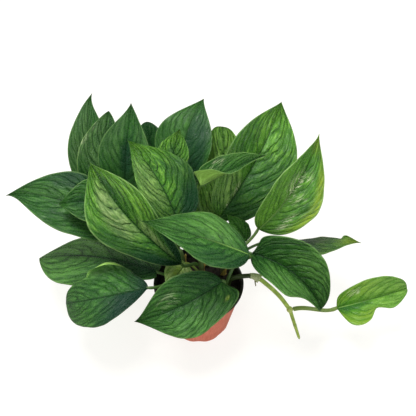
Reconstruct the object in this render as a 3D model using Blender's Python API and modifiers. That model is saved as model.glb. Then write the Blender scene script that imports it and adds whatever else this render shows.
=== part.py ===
"""Potted monstera with young, uncut leaves, in a plain nursery pot.

Metres, +Z up. The origin is the middle of the pot's underside and the photograph looks along +Y.
Each leaf is one solid, its blade grown together with its stalk. The stalks leave short stems that
stand in plain holes in the soil, and one stem trails over the rim and carries the leaf at the right.
"""
import math
from dataclasses import dataclass

import bmesh
import bpy
import numpy as np
from mathutils import Matrix, Vector

MM = 0.001
GAP = 0.3

POT_HEIGHT = 86.0
POT_RIM_RADIUS = 60.0
POT_MOUTH_RADIUS = 56.5
POT_FOOT_RADIUS = 42.0
POT_WALL = 1.6
POT_FLOOR = 2.0
POT_STEPS = 48
RIM_DEPTH = 7.0
FOOT_LOBES = 8
LOBE_DEPTH = 2.2
LOBE_TOP = 7.0
DRAIN_COUNT = 6
DRAIN_RADIUS = 4.0
DRAIN_RING = 26.0
INSIDE_FOOT_RADIUS = 37.0
INSIDE_FOOT_TOP = 11.0

SOIL_TOP = 73.0
SOIL_MOUND = 4.0
SOIL_RIPPLE = 0.9
HOLE_CLEARANCE = 0.4
HOLE_FLOOR = 40.0
HOLE_SIDES = 12

STEM_BEND = SOIL_TOP + 8.0
STEM_TAPER = 0.3
KNOT_SWELL = 1.35

BLADE_THICKNESS = 0.8
BLADE_ROWS = 10
BLADE_COLUMNS = 6
RIB_LEAD = 0.10
LOBE_REACH = 0.3
NOTCH_REACH = 0.15
CUP_REACH = 0.5
HOOK_START = 0.84
VEIN_BEND = 1.3
WAVES = 15.0

STALK_POINTS = 5
STALK_START = 1.1
STALK_SINK = 0.55
KEEL_POINTS = 3
KEEL_REACH = 0.34
KEEL_COVER = 0.1

SMOOTH_ANGLE = 40.0


@dataclass(frozen=True)
class Stem:
    """A short stem: its foot and top in mm, and its radius at the soil."""

    foot: tuple
    top: tuple
    radius: float = 4.0


@dataclass(frozen=True)
class Leaf:
    """A leaf: where its blade starts and ends (mm), its form (mm and degrees) and its stem.

    rise is the height at which the stalk leaves the stem. roll turns the blade about its rib,
    fold lifts its halves, arch and sweep bow the rib up and sideways, twist turns the tip.
    peak sets the widest place, point how drawn out the tip is, lobe how far the base reaches back.
    turn swings the stalk's start round the stem and lean sets how level it leaves.
    lobe_skew makes the right lobe longer than the left, and notch cuts into the right edge at notch_at.
    cup folds the right half up near the base, and hook bends the last of the tip sideways.
    """

    name: str
    stem: str
    rise: float
    base: tuple
    tip: tuple
    width: float
    roll: float = 0.0
    fold: float = 14.0
    arch: float = 6.0
    sweep: float = 0.0
    twist: float = 0.0
    lobe: float = 0.07
    peak: float = 0.76
    point: float = 1.2
    wave: float = 1.2
    stalk: float = 2.0
    turn: float = 0.0
    lean: float = 0.35
    lobe_skew: float = 0.0
    notch: float = 0.0
    notch_at: float = 0.6
    cup: float = 0.0
    hook: float = 0.0


STEMS = {
    "front_left": Stem((-24, 4, 42), (-27, 3, 98)),
    "back_left": Stem((-20, 30, 42), (-25, 36, 112)),
    "middle": Stem((4, 20, 42), (2, 24, 112)),
    "back": Stem((6, 37, 42), (7, 43, 110)),
    "right": Stem((33, 22, 42), (37, 27, 108)),
    "front_right": Stem((30, -8, 42), (31, -10, 92)),
}

LEAVES = (
    Leaf("leaf_far_left", "front_left", 91, (-115, 67, 118), (-262, 102, 151), 85,
         roll=-22, fold=15, arch=14, sweep=10, hook=-4),
    Leaf("leaf_left_small", "back_left", 98, (-104, 82, 138), (-183, 66, 168), 61,
         roll=-28, fold=14, arch=5, sweep=6, peak=1.05, stalk=1.6, turn=15),
    Leaf("leaf_lower_left", "front_left", 83.5, (-55, 6, 102), (-229, 60, 59), 100,
         roll=6, fold=-8, arch=11, sweep=5, twist=-2, peak=1.33, point=0.85, lobe=0.12),
    Leaf("leaf_bottom_left", "front_left", 79, (-64, -27, 113), (-176, -22, 68), 76,
         roll=-8, fold=-6, arch=19, sweep=-12, twist=-44, lobe=0.0, peak=0.81, point=0.33,
         notch=-0.31, notch_at=0.39),
    Leaf("leaf_front_left", "middle", 98, (-22, 5, 119), (-141, 105, 205), 82,
         roll=-43, fold=31, arch=15, sweep=-6, twist=19, peak=1.13, point=1.13, turn=-10, lobe=0.05),
    Leaf("leaf_centre_left", "middle", 109, (-27, 50, 151), (-93, 132, 220), 80,
         roll=5, fold=26, arch=11, sweep=2, twist=5, lobe=0.12, turn=20),
    Leaf("leaf_back_left", "back_left", 110, (-100, 107, 148), (-87, 176, 247), 72,
         arch=7, sweep=-3, turn=-25, hook=-3),
    Leaf("leaf_outer_back_left", "back_left", 82, (-145, 125, 116), (-156, 222, 228), 60,
         roll=-3, fold=13, arch=9, sweep=-4, peak=0.79, hook=6),
    Leaf("leaf_inner_back_left", "back_left", 90, (-139, 116, 134), (-125, 195, 218), 66,
         fold=16, arch=7, twist=3, point=0.8, turn=8),
    Leaf("leaf_front_centre", "right", 100, (65, 6, 138), (-71, 9, 201), 86,
         roll=4, fold=3, arch=7, sweep=-2, twist=10, lobe=0.0, peak=0.72, point=1.5),
    Leaf("leaf_bottom_centre", "front_right", 88, (31, -16, 111), (-82, -57, 80), 82,
         roll=-44, fold=22, arch=9, sweep=-5, lobe=0.13, peak=0.81, point=1.3, twist=3, lobe_skew=-0.85),
    Leaf("leaf_young_front", "middle", 86, (-17, 20, 101), (-42, -25, 104), 38,
         roll=-28, arch=0, stalk=1.5, turn=25, fold=4),
    Leaf("leaf_back_round_left", "back", 94, (-57, 141, 126), (-74, 186, 206), 58,
         roll=-8, fold=13, arch=5, point=0.5, stalk=1.6, turn=35),
    Leaf("leaf_top", "back", 102, (-24, 126, 144), (7, 219, 221), 80,
         roll=6, fold=18, arch=13, sweep=-9, twist=3, peak=0.82, turn=12),
    Leaf("leaf_young_top", "middle", 100, (-36, 97, 185), (-25, 154, 221), 43,
         roll=4, fold=17, arch=6, sweep=-2, stalk=1.4, turn=-25),
    Leaf("leaf_back_round_right", "back", 86, (18, 95, 98), (32, 182, 201), 67,
         roll=5, arch=8, sweep=9, point=0.35, turn=-35),
    Leaf("leaf_side_on", "back", 108, (3, 88, 180), (83, 63, 258), 41,
         roll=11, fold=28, arch=-7, sweep=-11, twist=-13, lobe=0.1, peak=0.55, point=1.15,
         stalk=1.6, turn=-30, cup=105),
    Leaf("leaf_top_right", "right", 102, (28, 79, 126), (117, 222, 213), 101,
         roll=40, fold=27, arch=21, twist=-8, peak=0.85, point=1.1, turn=25),
    Leaf("leaf_right", "right", 92, (80, 54, 131), (162, 152, 214), 83,
         roll=55, fold=22, arch=13, sweep=5, lobe=0.04, peak=0.72, point=1.3, turn=-10),
    Leaf("leaf_right_inner", "right", 98, (66, 57, 104), (38, 75, 138), 27,
         roll=-21, arch=3, stalk=1.4, turn=20),
    Leaf("leaf_right_edge_on", "right", 82, (88, 70, 83), (223, 59, 101), 75,
         roll=-34, fold=-8, arch=0, sweep=3, turn=-20, twist=16, peak=0.94, point=1.4),
    Leaf("leaf_lower_right", "front_right", 80, (70, 25, 116), (163, -27, 62), 66,
         roll=20, fold=52, arch=17.5, sweep=-10.5, twist=14, lobe=0.08, peak=0.61, point=0.45,
         lobe_skew=-1.0, notch=-0.35, notch_at=0.45),
    Leaf("leaf_hidden_back_left", "back_left", 88, (-68, 88, 102), (-122, 164, 90), 58, arch=12, turn=-30),
    Leaf("leaf_hidden_back", "back", 92, (-1, 106, 103), (-17, 190, 87), 66, arch=14),
    Leaf("leaf_hidden_back_right", "right", 87, (54, 98, 106), (104, 176, 92), 66, arch=12, turn=12),
)

RUNNER_ROUTE = (
    (40, 3, 42), (40, 3, 80), (46, 3, 91), (60, 2, 97), (76, 3, 94), (93, -3, 82),
    (109, -11, 68), (123, -21, 52),
)
RUNNER_TIP = ((123, -21, 52), (127, -26, 41), (131, -31, 30), (135, -36, 19), (139, -41, 8))
RUNNER_RADIUS = 3.3
ROOTED_NODE = 4
RUNNER_LEAF = Leaf("leaf_runner", "runner", 57, (187, -18, 51), (289, 14, 51), 56,
                   roll=28, fold=37, arch=8, sweep=1, twist=39, lobe=0.07, peak=0.63, point=0.47,
                   lean=3.0, notch=0.53, notch_at=0.45, stalk=2.6)


def clear_scene():
    """Remove every object, so the model stands alone."""
    for existing in list(bpy.data.objects):
        bpy.data.objects.remove(existing, do_unlink=True)


def make_material(name, colour, roughness, metallic=0.0):
    """Return a Principled material of one colour."""
    material = bpy.data.materials.new(name)
    material.use_nodes = True
    shader = material.node_tree.nodes["Principled BSDF"]
    shader.inputs["Base Color"].default_value = (*colour, 1.0)
    shader.inputs["Roughness"].default_value = roughness
    shader.inputs["Metallic"].default_value = metallic
    return material


def link_mesh(name, mesh, material, collection):
    """Put a mesh in the collection as one smooth shaded object."""
    mesh.materials.clear()
    mesh.materials.append(material)
    mesh.shade_smooth()
    mesh.set_sharp_from_angle(angle=math.radians(SMOOTH_ANGLE))
    piece = bpy.data.objects.new(name, mesh)
    collection.objects.link(piece)
    return piece


def evaluated_mesh(source):
    """Return a new mesh of an object with its modifiers in place."""
    bpy.context.view_layer.update()
    depsgraph = bpy.context.evaluated_depsgraph_get()
    return bpy.data.meshes.new_from_object(source.evaluated_get(depsgraph))


def take_mesh(source):
    """Return an object's evaluated mesh in world space and remove the object."""
    mesh = evaluated_mesh(source)
    mesh.transform(source.matrix_world)
    bpy.data.objects.remove(source, do_unlink=True)
    return mesh


def weld(mesh, distance=1e-6):
    """Merge the loose caps of a tube with its wall."""
    work = bmesh.new()
    work.from_mesh(mesh)
    bmesh.ops.remove_doubles(work, verts=work.verts, dist=distance)
    bmesh.ops.recalc_face_normals(work, faces=work.faces)
    work.to_mesh(mesh)
    work.free()


def tube(name, points, radii, collection, resolution=1):
    """Return a closed tube along points in mm, with one radius in mm for each point."""
    curve = bpy.data.curves.new(name, "CURVE")
    curve.dimensions = "3D"
    curve.bevel_depth = MM
    curve.bevel_resolution = resolution
    curve.use_fill_caps = True
    spline = curve.splines.new("POLY")
    spline.points.add(len(points) - 1)
    for spot, place, radius in zip(spline.points, points, radii):
        spot.co = (place[0] * MM, place[1] * MM, place[2] * MM, 1.0)
        spot.radius = radius
    route = bpy.data.objects.new(name, curve)
    collection.objects.link(route)
    mesh = take_mesh(route)
    bpy.data.curves.remove(curve)
    weld(mesh)
    return mesh


def join_solids(name, first, others, collection):
    """Return the union of closed meshes as one mesh."""
    body = bpy.data.objects.new(name, first)
    collection.objects.link(body)
    helpers = bpy.data.collections.new(name + "_joined")
    bpy.context.scene.collection.children.link(helpers)
    for number, mesh in enumerate(others):
        helper = bpy.data.objects.new(f"{name}_join_{number}", mesh)
        helper.hide_render = True
        helper.display_type = "WIRE"
        helpers.objects.link(helper)
    union = body.modifiers.new("Union", "BOOLEAN")
    union.operation = "UNION"
    union.operand_type = "COLLECTION"
    union.collection = helpers
    union.solver = "MANIFOLD"
    mesh = take_mesh(body)
    for helper in list(helpers.objects):
        bpy.data.objects.remove(helper, do_unlink=True)
    bpy.data.collections.remove(helpers)
    return mesh


def turned(name, profile, steps, collection):
    """Return a closed turned solid from a profile of (radius, height) in mm, outer side downwards."""
    mesh = bpy.data.meshes.new(name)
    points = [(radius * MM, 0.0, height * MM) for radius, height in profile]
    edges = [(index, index + 1) for index in range(len(points) - 1)]
    if profile[0][0] > 0.0:
        edges.append((len(points) - 1, 0))
    mesh.from_pydata(points, edges, [])
    body = bpy.data.objects.new(name, mesh)
    collection.objects.link(body)
    screw = body.modifiers.new("Turn", "SCREW")
    screw.axis = "Z"
    screw.steps = steps
    screw.render_steps = steps
    screw.use_merge_vertices = True
    screw.merge_threshold = 1e-5
    solid = take_mesh(body)
    weld(solid, 1e-5)
    return solid


def wall_radius(height):
    """Outer radius of the pot's wall at a height, in mm."""
    share = height / (POT_HEIGHT - RIM_DEPTH)
    return POT_FOOT_RADIUS + (POT_MOUTH_RADIUS - POT_FOOT_RADIUS) * share


def lobe_inset(x, y, height):
    """How far the foot is drawn in between its lobes, in mm."""
    angle = math.atan2(y, x)
    fade = max(0.0, 1.0 - height / LOBE_TOP)
    return LOBE_DEPTH * fade * (0.5 + 0.5 * math.cos(FOOT_LOBES * angle)) ** 2


def make_pot(material, collection, cutters):
    """Make the pot: a tapered wall with a flared rim, a lobed foot and drain holes."""
    collar = POT_HEIGHT - RIM_DEPTH
    inner_top = wall_radius(collar) - POT_WALL
    profile = [
        (POT_RIM_RADIUS - 0.6, POT_HEIGHT), (POT_RIM_RADIUS, POT_HEIGHT - 0.8),
        (POT_RIM_RADIUS - 0.3, POT_HEIGHT - 2.2), (POT_MOUTH_RADIUS + 1.6, POT_HEIGHT - 2.8),
        (POT_MOUTH_RADIUS + 1.2, collar + 0.8), (wall_radius(collar), collar),
        (wall_radius(LOBE_TOP + 1.0), LOBE_TOP + 1.0), (wall_radius(3.0), 3.0),
        (POT_FOOT_RADIUS, 0.8), (POT_FOOT_RADIUS - 1.0, 0.0), (0.0, 0.0), (0.0, POT_FLOOR),
        (INSIDE_FOOT_RADIUS, POT_FLOOR), (wall_radius(INSIDE_FOOT_TOP) - POT_WALL, INSIDE_FOOT_TOP),
        (inner_top, collar), (POT_MOUTH_RADIUS - 0.4, collar + 0.8), (POT_MOUTH_RADIUS, POT_HEIGHT - 1.4),
        (POT_MOUTH_RADIUS + 0.8, POT_HEIGHT - 0.4), (POT_MOUTH_RADIUS + 1.8, POT_HEIGHT),
    ]
    mesh = turned("pot", profile, POT_STEPS, collection)
    for vertex in mesh.vertices:
        x, y, height = vertex.co / MM
        reach = math.hypot(x, y)
        if height < LOBE_TOP and reach > POT_FOOT_RADIUS - 2.0:
            vertex.co.x *= 1.0 - lobe_inset(x, y, height) / reach
            vertex.co.y *= 1.0 - lobe_inset(x, y, height) / reach
    pot = link_mesh("pot", mesh, material, collection)
    drains = bmesh.new()
    for number in range(DRAIN_COUNT):
        turn = math.tau * (number + 0.5) / DRAIN_COUNT
        place = Vector((DRAIN_RING * math.cos(turn), DRAIN_RING * math.sin(turn), POT_FLOOR / 2)) * MM
        bmesh.ops.create_cone(drains, cap_ends=True, segments=HOLE_SIDES, radius1=DRAIN_RADIUS * MM,
                              radius2=DRAIN_RADIUS * MM, depth=POT_FLOOR * 3 * MM,
                              matrix=Matrix.Translation(place))
    cut_with(pot, drains, "pot_drains", cutters)
    return pot


def cut_with(piece, shapes, name, cutters):
    """Cut a piece with the closed shapes in a bmesh."""
    mesh = bpy.data.meshes.new(name)
    shapes.to_mesh(mesh)
    shapes.free()
    cutter = bpy.data.objects.new(name, mesh)
    cutter.hide_render = True
    cutter.display_type = "WIRE"
    cutters.objects.link(cutter)
    cut = piece.modifiers.new(name, "BOOLEAN")
    cut.operation = "DIFFERENCE"
    cut.object = cutter


def soil_height(x, y):
    """Height of the soil at a place, in mm: a low mound with soft clods."""
    reach = math.hypot(x, y) / POT_MOUTH_RADIUS
    mound = SOIL_MOUND * (1.0 - reach * reach)
    clods = math.sin(x * 0.31 + 1.0) * math.cos(y * 0.27) + math.sin(x * 0.13 - y * 0.19)
    return SOIL_TOP + mound + SOIL_RIPPLE * clods * (1.0 - reach ** 4)


def make_soil(material, collection, cutters):
    """Make the soil that fills the pot, with a plain hole for each stem."""
    edge = wall_radius(SOIL_TOP) - POT_WALL - GAP
    low = wall_radius(INSIDE_FOOT_TOP) - POT_WALL - GAP
    floor = POT_FLOOR + GAP
    profile = [(0.0, SOIL_TOP)]
    profile += [(edge * share, SOIL_TOP) for share in (0.16, 0.32, 0.48, 0.64, 0.8, 0.93, 1.0)]
    profile += [(low, INSIDE_FOOT_TOP), (INSIDE_FOOT_RADIUS - GAP, floor), (0.0, floor)]
    mesh = turned("soil", profile, POT_STEPS // 2, collection)
    for vertex in mesh.vertices:
        x, y, height = vertex.co / MM
        if height > SOIL_TOP - 0.1 and math.hypot(x, y) < edge - 0.1:
            vertex.co.z = soil_height(x, y) * MM
    soil = link_mesh("soil", mesh, material, collection)
    holes = bmesh.new()
    feet = [(stem.foot[0], stem.foot[1], stem.radius) for stem in STEMS.values()]
    feet.append((RUNNER_ROUTE[0][0], RUNNER_ROUTE[0][1], RUNNER_RADIUS))
    for x, y, radius in feet:
        depth = SOIL_TOP + 12.0 - HOLE_FLOOR
        place = Vector((x, y, HOLE_FLOOR + depth / 2)) * MM
        hole = (radius + HOLE_CLEARANCE) / math.cos(math.pi / HOLE_SIDES) * MM
        bmesh.ops.create_cone(holes, cap_ends=True, segments=HOLE_SIDES, radius1=hole, radius2=hole,
                              depth=depth * MM, matrix=Matrix.Translation(place))
    cut_with(soil, holes, "soil_holes", cutters)
    return soil


def stem_point(stem, height):
    """Return the place and radius of a stem's axis at a height, in mm."""
    foot, top = Vector(stem.foot), Vector(stem.top)
    share = max(0.0, (height - STEM_BEND) / (top.z - STEM_BEND))
    place = Vector((foot.x, foot.y, height)).lerp(Vector((top.x, top.y, height)), share)
    return place, stem.radius * (1.0 - STEM_TAPER * share)


def make_stem(name, stem, material, collection):
    """Make a short stem: straight in its hole, leaning and thinner above the soil."""
    rings = 3
    heights = [stem.foot[2], STEM_BEND]
    heights += [STEM_BEND + (stem.top[2] - STEM_BEND) * (step + 1) / rings for step in range(rings)]
    spots = [stem_point(stem, height) for height in heights]
    mesh = tube(name, [place for place, _ in spots], [radius for _, radius in spots], collection, 2)
    return link_mesh(name, mesh, material, collection)


def blade_frame(leaf):
    """Return the blade's base, length and its unit directions along, across and up."""
    base, tip = np.array(leaf.base, float), np.array(leaf.tip, float)
    length = float(np.linalg.norm(tip - base))
    along = (tip - base) / length
    level = np.array((0.0, 0.0, 1.0)) - along[2] * along
    level /= np.linalg.norm(level)
    side = np.cross(along, level)
    roll = math.radians(leaf.roll)
    up = level * math.cos(roll) + side * math.sin(roll)
    across = side * math.cos(roll) - level * math.sin(roll)
    return base, length, along, across, up


def blade_point(leaf, q, u, lift=0.0):
    """Return a point of the blade's middle surface, in mm.

    q runs from the base to the tip and u from the left edge (-1) to the right edge (1).
    """
    base, length, along, across, up = blade_frame(leaf)
    wide = max(0.0, math.sin(math.pi * q ** leaf.peak)) ** (0.8 + (leaf.point - 0.8) * q)
    wide *= 1.0 - leaf.notch * max(0.0, u) * math.exp(-((q - leaf.notch_at) / NOTCH_REACH) ** 2)
    rib = q - RIB_LEAD * math.sin(math.pi * q)
    lobe = leaf.lobe * (1.0 + leaf.lobe_skew * u)
    edge = q - lobe * math.sin(math.pi * min(q / LOBE_REACH, 1.0))
    way = rib + (edge - rib) * abs(u) ** VEIN_BEND
    side = wide * u * leaf.width / 2
    rise = abs(side) * math.tan(math.radians(leaf.fold))
    rise += leaf.wave * math.sin(WAVES * q + 2.0 * u) * abs(u) ** 3 * math.sin(math.pi * q)
    folded = math.radians(leaf.cup) * max(0.0, 1.0 - q / CUP_REACH) if u > 0.0 else 0.0
    side, rise = (side * math.cos(folded) - rise * math.sin(folded),
                  side * math.sin(folded) + rise * math.cos(folded))
    turn = math.radians(leaf.twist) * (way - 0.5)
    bow = 4.0 * way * (1.0 - way)
    side += leaf.hook * max(0.0, (q - HOOK_START) / (1.0 - HOOK_START)) ** 2
    x = side * math.cos(turn) - rise * math.sin(turn) + leaf.sweep * bow
    z = rise * math.cos(turn) - side * math.sin(turn) + leaf.arch * bow + lift
    return base + along * way * length + across * x + up * z


def blade_mesh(leaf):
    """Return the blade as a closed mesh: a bent grid, split into triangles and given its thickness."""
    work = bmesh.new()
    bmesh.ops.create_grid(work, x_segments=BLADE_COLUMNS, y_segments=BLADE_ROWS, size=1.0)
    for vertex in work.verts:
        q = 0.5 + 0.5 * math.sin(0.5 * math.pi * max(-1.0, min(1.0, vertex.co.y)))
        vertex.co = Vector(blade_point(leaf, q, vertex.co.x)) * MM
    bmesh.ops.remove_doubles(work, verts=work.verts, dist=1e-5)
    bmesh.ops.triangulate(work, faces=work.faces, quad_method="SHORT_EDGE")
    mesh = bpy.data.meshes.new(leaf.name)
    work.to_mesh(mesh)
    work.free()
    return mesh


def stalk_route(leaf, start, out):
    """Return the points of the stalk and of the rib under the blade, in mm."""
    along = blade_frame(leaf)[2]
    sink = leaf.stalk * STALK_SINK
    end = Vector(blade_point(leaf, 0.0, 0.0, -sink))
    reach = (end - start).length
    rising = Vector((0.0, 0.0, 1.0))
    first = start + (out * leaf.lean + rising).normalized() * reach * 0.38
    last = end - (Vector(along) * 0.8 + rising * 0.35).normalized() * reach * 0.32
    points, radii = [], []
    for step in range(STALK_POINTS + 1):
        t = step / STALK_POINTS
        radii.append(leaf.stalk * (1.25 - 0.35 * t))
        blend = ((1 - t) ** 3, 3 * t * (1 - t) ** 2, 3 * t * t * (1 - t), t ** 3)
        points.append(start * blend[0] + first * blend[1] + last * blend[2] + end * blend[3])
    for step in range(1, KEEL_POINTS + 1):
        share = step / KEEL_POINTS
        radii.append(leaf.stalk * (0.9 - 0.5 * share))
        points.append(Vector(blade_point(leaf, KEEL_REACH * share, 0.0, KEEL_COVER - radii[-1])))
    return points, radii


def make_leaf(leaf, start, out, material, collection):
    """Make a leaf: its blade joined with its stalk."""
    sheet = bpy.data.objects.new(leaf.name + "_sheet", blade_mesh(leaf))
    collection.objects.link(sheet)
    thicken = sheet.modifiers.new("Thickness", "SOLIDIFY")
    thicken.thickness = BLADE_THICKNESS * MM
    thicken.offset = 0.0
    blade = take_mesh(sheet)
    points, radii = stalk_route(leaf, start, out)
    stalk = tube(leaf.name + "_stalk", points, radii, collection)
    mesh = join_solids(leaf.name + "_body", blade, [stalk], collection)
    return link_mesh(leaf.name, mesh, material, collection)


def leaf_start(leaf):
    """Return where a leaf's stalk leaves its stem, and the level direction it leaves in."""
    place, radius = stem_point(STEMS[leaf.stem], leaf.rise)
    out = Vector((leaf.base[0] - place.x, leaf.base[1] - place.y, 0.0)).normalized()
    out.rotate(Matrix.Rotation(math.radians(leaf.turn), 3, "Z"))
    return place + out * (radius + GAP + leaf.stalk * STALK_START), out


def make_runner(material, collection):
    """Make the trailing stem with its growing tip, its two nodes and a short air root."""
    count = len(RUNNER_ROUTE)
    radii = [RUNNER_RADIUS * (1.0 - 0.15 * step / (count - 1)) for step in range(count)]
    body = tube("stem_runner_main", RUNNER_ROUTE, radii, collection, 2)
    tip_radii = [RUNNER_RADIUS * share for share in (0.8, 0.75, 0.7, 0.65, 0.35)]
    tip = tube("stem_runner_tip", RUNNER_TIP, tip_radii, collection, 2)
    nodes = []
    for number, place in enumerate((RUNNER_ROUTE[ROOTED_NODE], RUNNER_ROUTE[-1])):
        knot = bmesh.new()
        bmesh.ops.create_uvsphere(knot, u_segments=10, v_segments=6, radius=RUNNER_RADIUS * KNOT_SWELL * MM,
                                  matrix=Matrix.Translation(Vector(place) * MM))
        mesh = bpy.data.meshes.new(f"stem_runner_knot_{number}")
        knot.to_mesh(mesh)
        knot.free()
        nodes.append(mesh)
    root_start = Vector(RUNNER_ROUTE[ROOTED_NODE])
    root_points = [root_start, root_start + Vector((-1, -4, -4)), root_start + Vector((0, -7, -11))]
    root = tube("stem_runner_root", root_points, (1.1, 0.9, 0.5), collection)
    mesh = join_solids("stem_runner_body", body, [tip, root] + nodes, collection)
    return link_mesh("stem_runner", mesh, material, collection)


def build():
    """Build the whole plant in its pot."""
    clear_scene()
    parts = bpy.data.collections.new("potted_monstera")
    cutters = bpy.data.collections.new("cutters")
    bpy.context.scene.collection.children.link(parts)
    bpy.context.scene.collection.children.link(cutters)
    make_pot(make_material("pot_plastic", (0.62, 0.22, 0.14), 0.55), parts, cutters)
    make_soil(make_material("soil_peat", (0.03, 0.025, 0.02), 0.95), parts, cutters)
    for name, stem in STEMS.items():
        make_stem("stem_" + name, stem, make_material("stem_" + name, (0.16, 0.26, 0.07), 0.5), parts)
    make_runner(make_material("stem_runner", (0.22, 0.30, 0.08), 0.5), parts)
    for leaf in LEAVES:
        start, out = leaf_start(leaf)
        make_leaf(leaf, start, out, make_material(leaf.name, (0.05, 0.18, 0.04), 0.4), parts)
    fork = Vector(RUNNER_ROUTE[-1])
    out = Vector((1.0, 0.1, 0.0)).normalized()
    start = fork + out * (RUNNER_RADIUS * KNOT_SWELL + GAP)
    make_leaf(RUNNER_LEAF, start, out, make_material("leaf_runner", (0.12, 0.32, 0.05), 0.4), parts)


build()
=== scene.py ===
"""Looks for the potted monstera: finer leaves, stems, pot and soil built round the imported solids.

Metres, +Z up. The photograph looks along +Y from above, and the origin is the middle of the pot's
underside. Sizes in the classes are in millimetres, as a grower would measure the plant, and the
studio's in metres. Colours are linear.
"""

import logging
import math
from dataclasses import dataclass, field
from enum import Enum
from functools import cache
from typing import Callable, Optional, Sequence, Union

import bmesh
import bpy
import numpy as np
from mathutils import Matrix, Vector, noise

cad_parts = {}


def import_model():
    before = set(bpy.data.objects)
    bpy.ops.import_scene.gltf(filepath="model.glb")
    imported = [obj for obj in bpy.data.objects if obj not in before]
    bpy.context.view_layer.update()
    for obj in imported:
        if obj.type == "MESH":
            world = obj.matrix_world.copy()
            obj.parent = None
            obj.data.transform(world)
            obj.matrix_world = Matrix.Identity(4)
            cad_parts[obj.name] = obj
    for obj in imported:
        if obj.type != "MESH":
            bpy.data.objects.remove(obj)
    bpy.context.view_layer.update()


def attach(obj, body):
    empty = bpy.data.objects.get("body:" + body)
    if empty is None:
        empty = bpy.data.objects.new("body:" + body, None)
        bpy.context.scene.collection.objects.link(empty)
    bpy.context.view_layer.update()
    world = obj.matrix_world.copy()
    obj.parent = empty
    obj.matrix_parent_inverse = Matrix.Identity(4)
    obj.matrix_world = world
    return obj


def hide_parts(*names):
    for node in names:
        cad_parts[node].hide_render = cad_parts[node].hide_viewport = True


MM = 0.001
BODY = "root"
BLADE_MAP = "leaf"
Colour = tuple[float, float, float]
Place = tuple[float, float, float]
Span = tuple[float, float]
Value = Union["Wire", float, Colour]
log = logging.getLogger("monstera")

# How a leaf's side veins run, in its relief and in its colours alike.
VEIN_SWEEP = 0.42
VEIN_START = 0.3
VEIN_BOW = 0.7
VEIN_BEAT = 2.3
VEIN_UNEVEN = 0.16
VEIN_STAGGER = 0.5


class Wire:
    """A value in a shader graph that can be reckoned with like a number."""

    def __init__(self, graph: "Graph", socket: bpy.types.NodeSocket) -> None:
        """Hold an output socket of a graph."""
        self.graph = graph
        self.socket = socket

    def __add__(self, other: Value) -> "Wire":
        """Return the sum."""
        return self.graph.math("ADD", self, other)

    def __sub__(self, other: Value) -> "Wire":
        """Return the difference."""
        return self.graph.math("SUBTRACT", self, other)

    def __rsub__(self, other: Value) -> "Wire":
        """Return what is left of a number."""
        return self.graph.math("SUBTRACT", other, self)

    def __mul__(self, other: Value) -> "Wire":
        """Return the product."""
        return self.graph.math("MULTIPLY", self, other)

    def __truediv__(self, other: Value) -> "Wire":
        """Return the ratio."""
        return self.graph.math("DIVIDE", self, other)

    def __abs__(self) -> "Wire":
        """Return the value without its sign."""
        return self.graph.math("ABSOLUTE", self)

    def held(self, other: Value) -> "Wire":
        """Return the sum, held between 0 and 1."""
        return self.graph.math("ADD", self, other, clamp=True)

    def or_more(self, other: Value) -> "Wire":
        """Return the greater of the two."""
        return self.graph.math("MAXIMUM", self, other)


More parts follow.
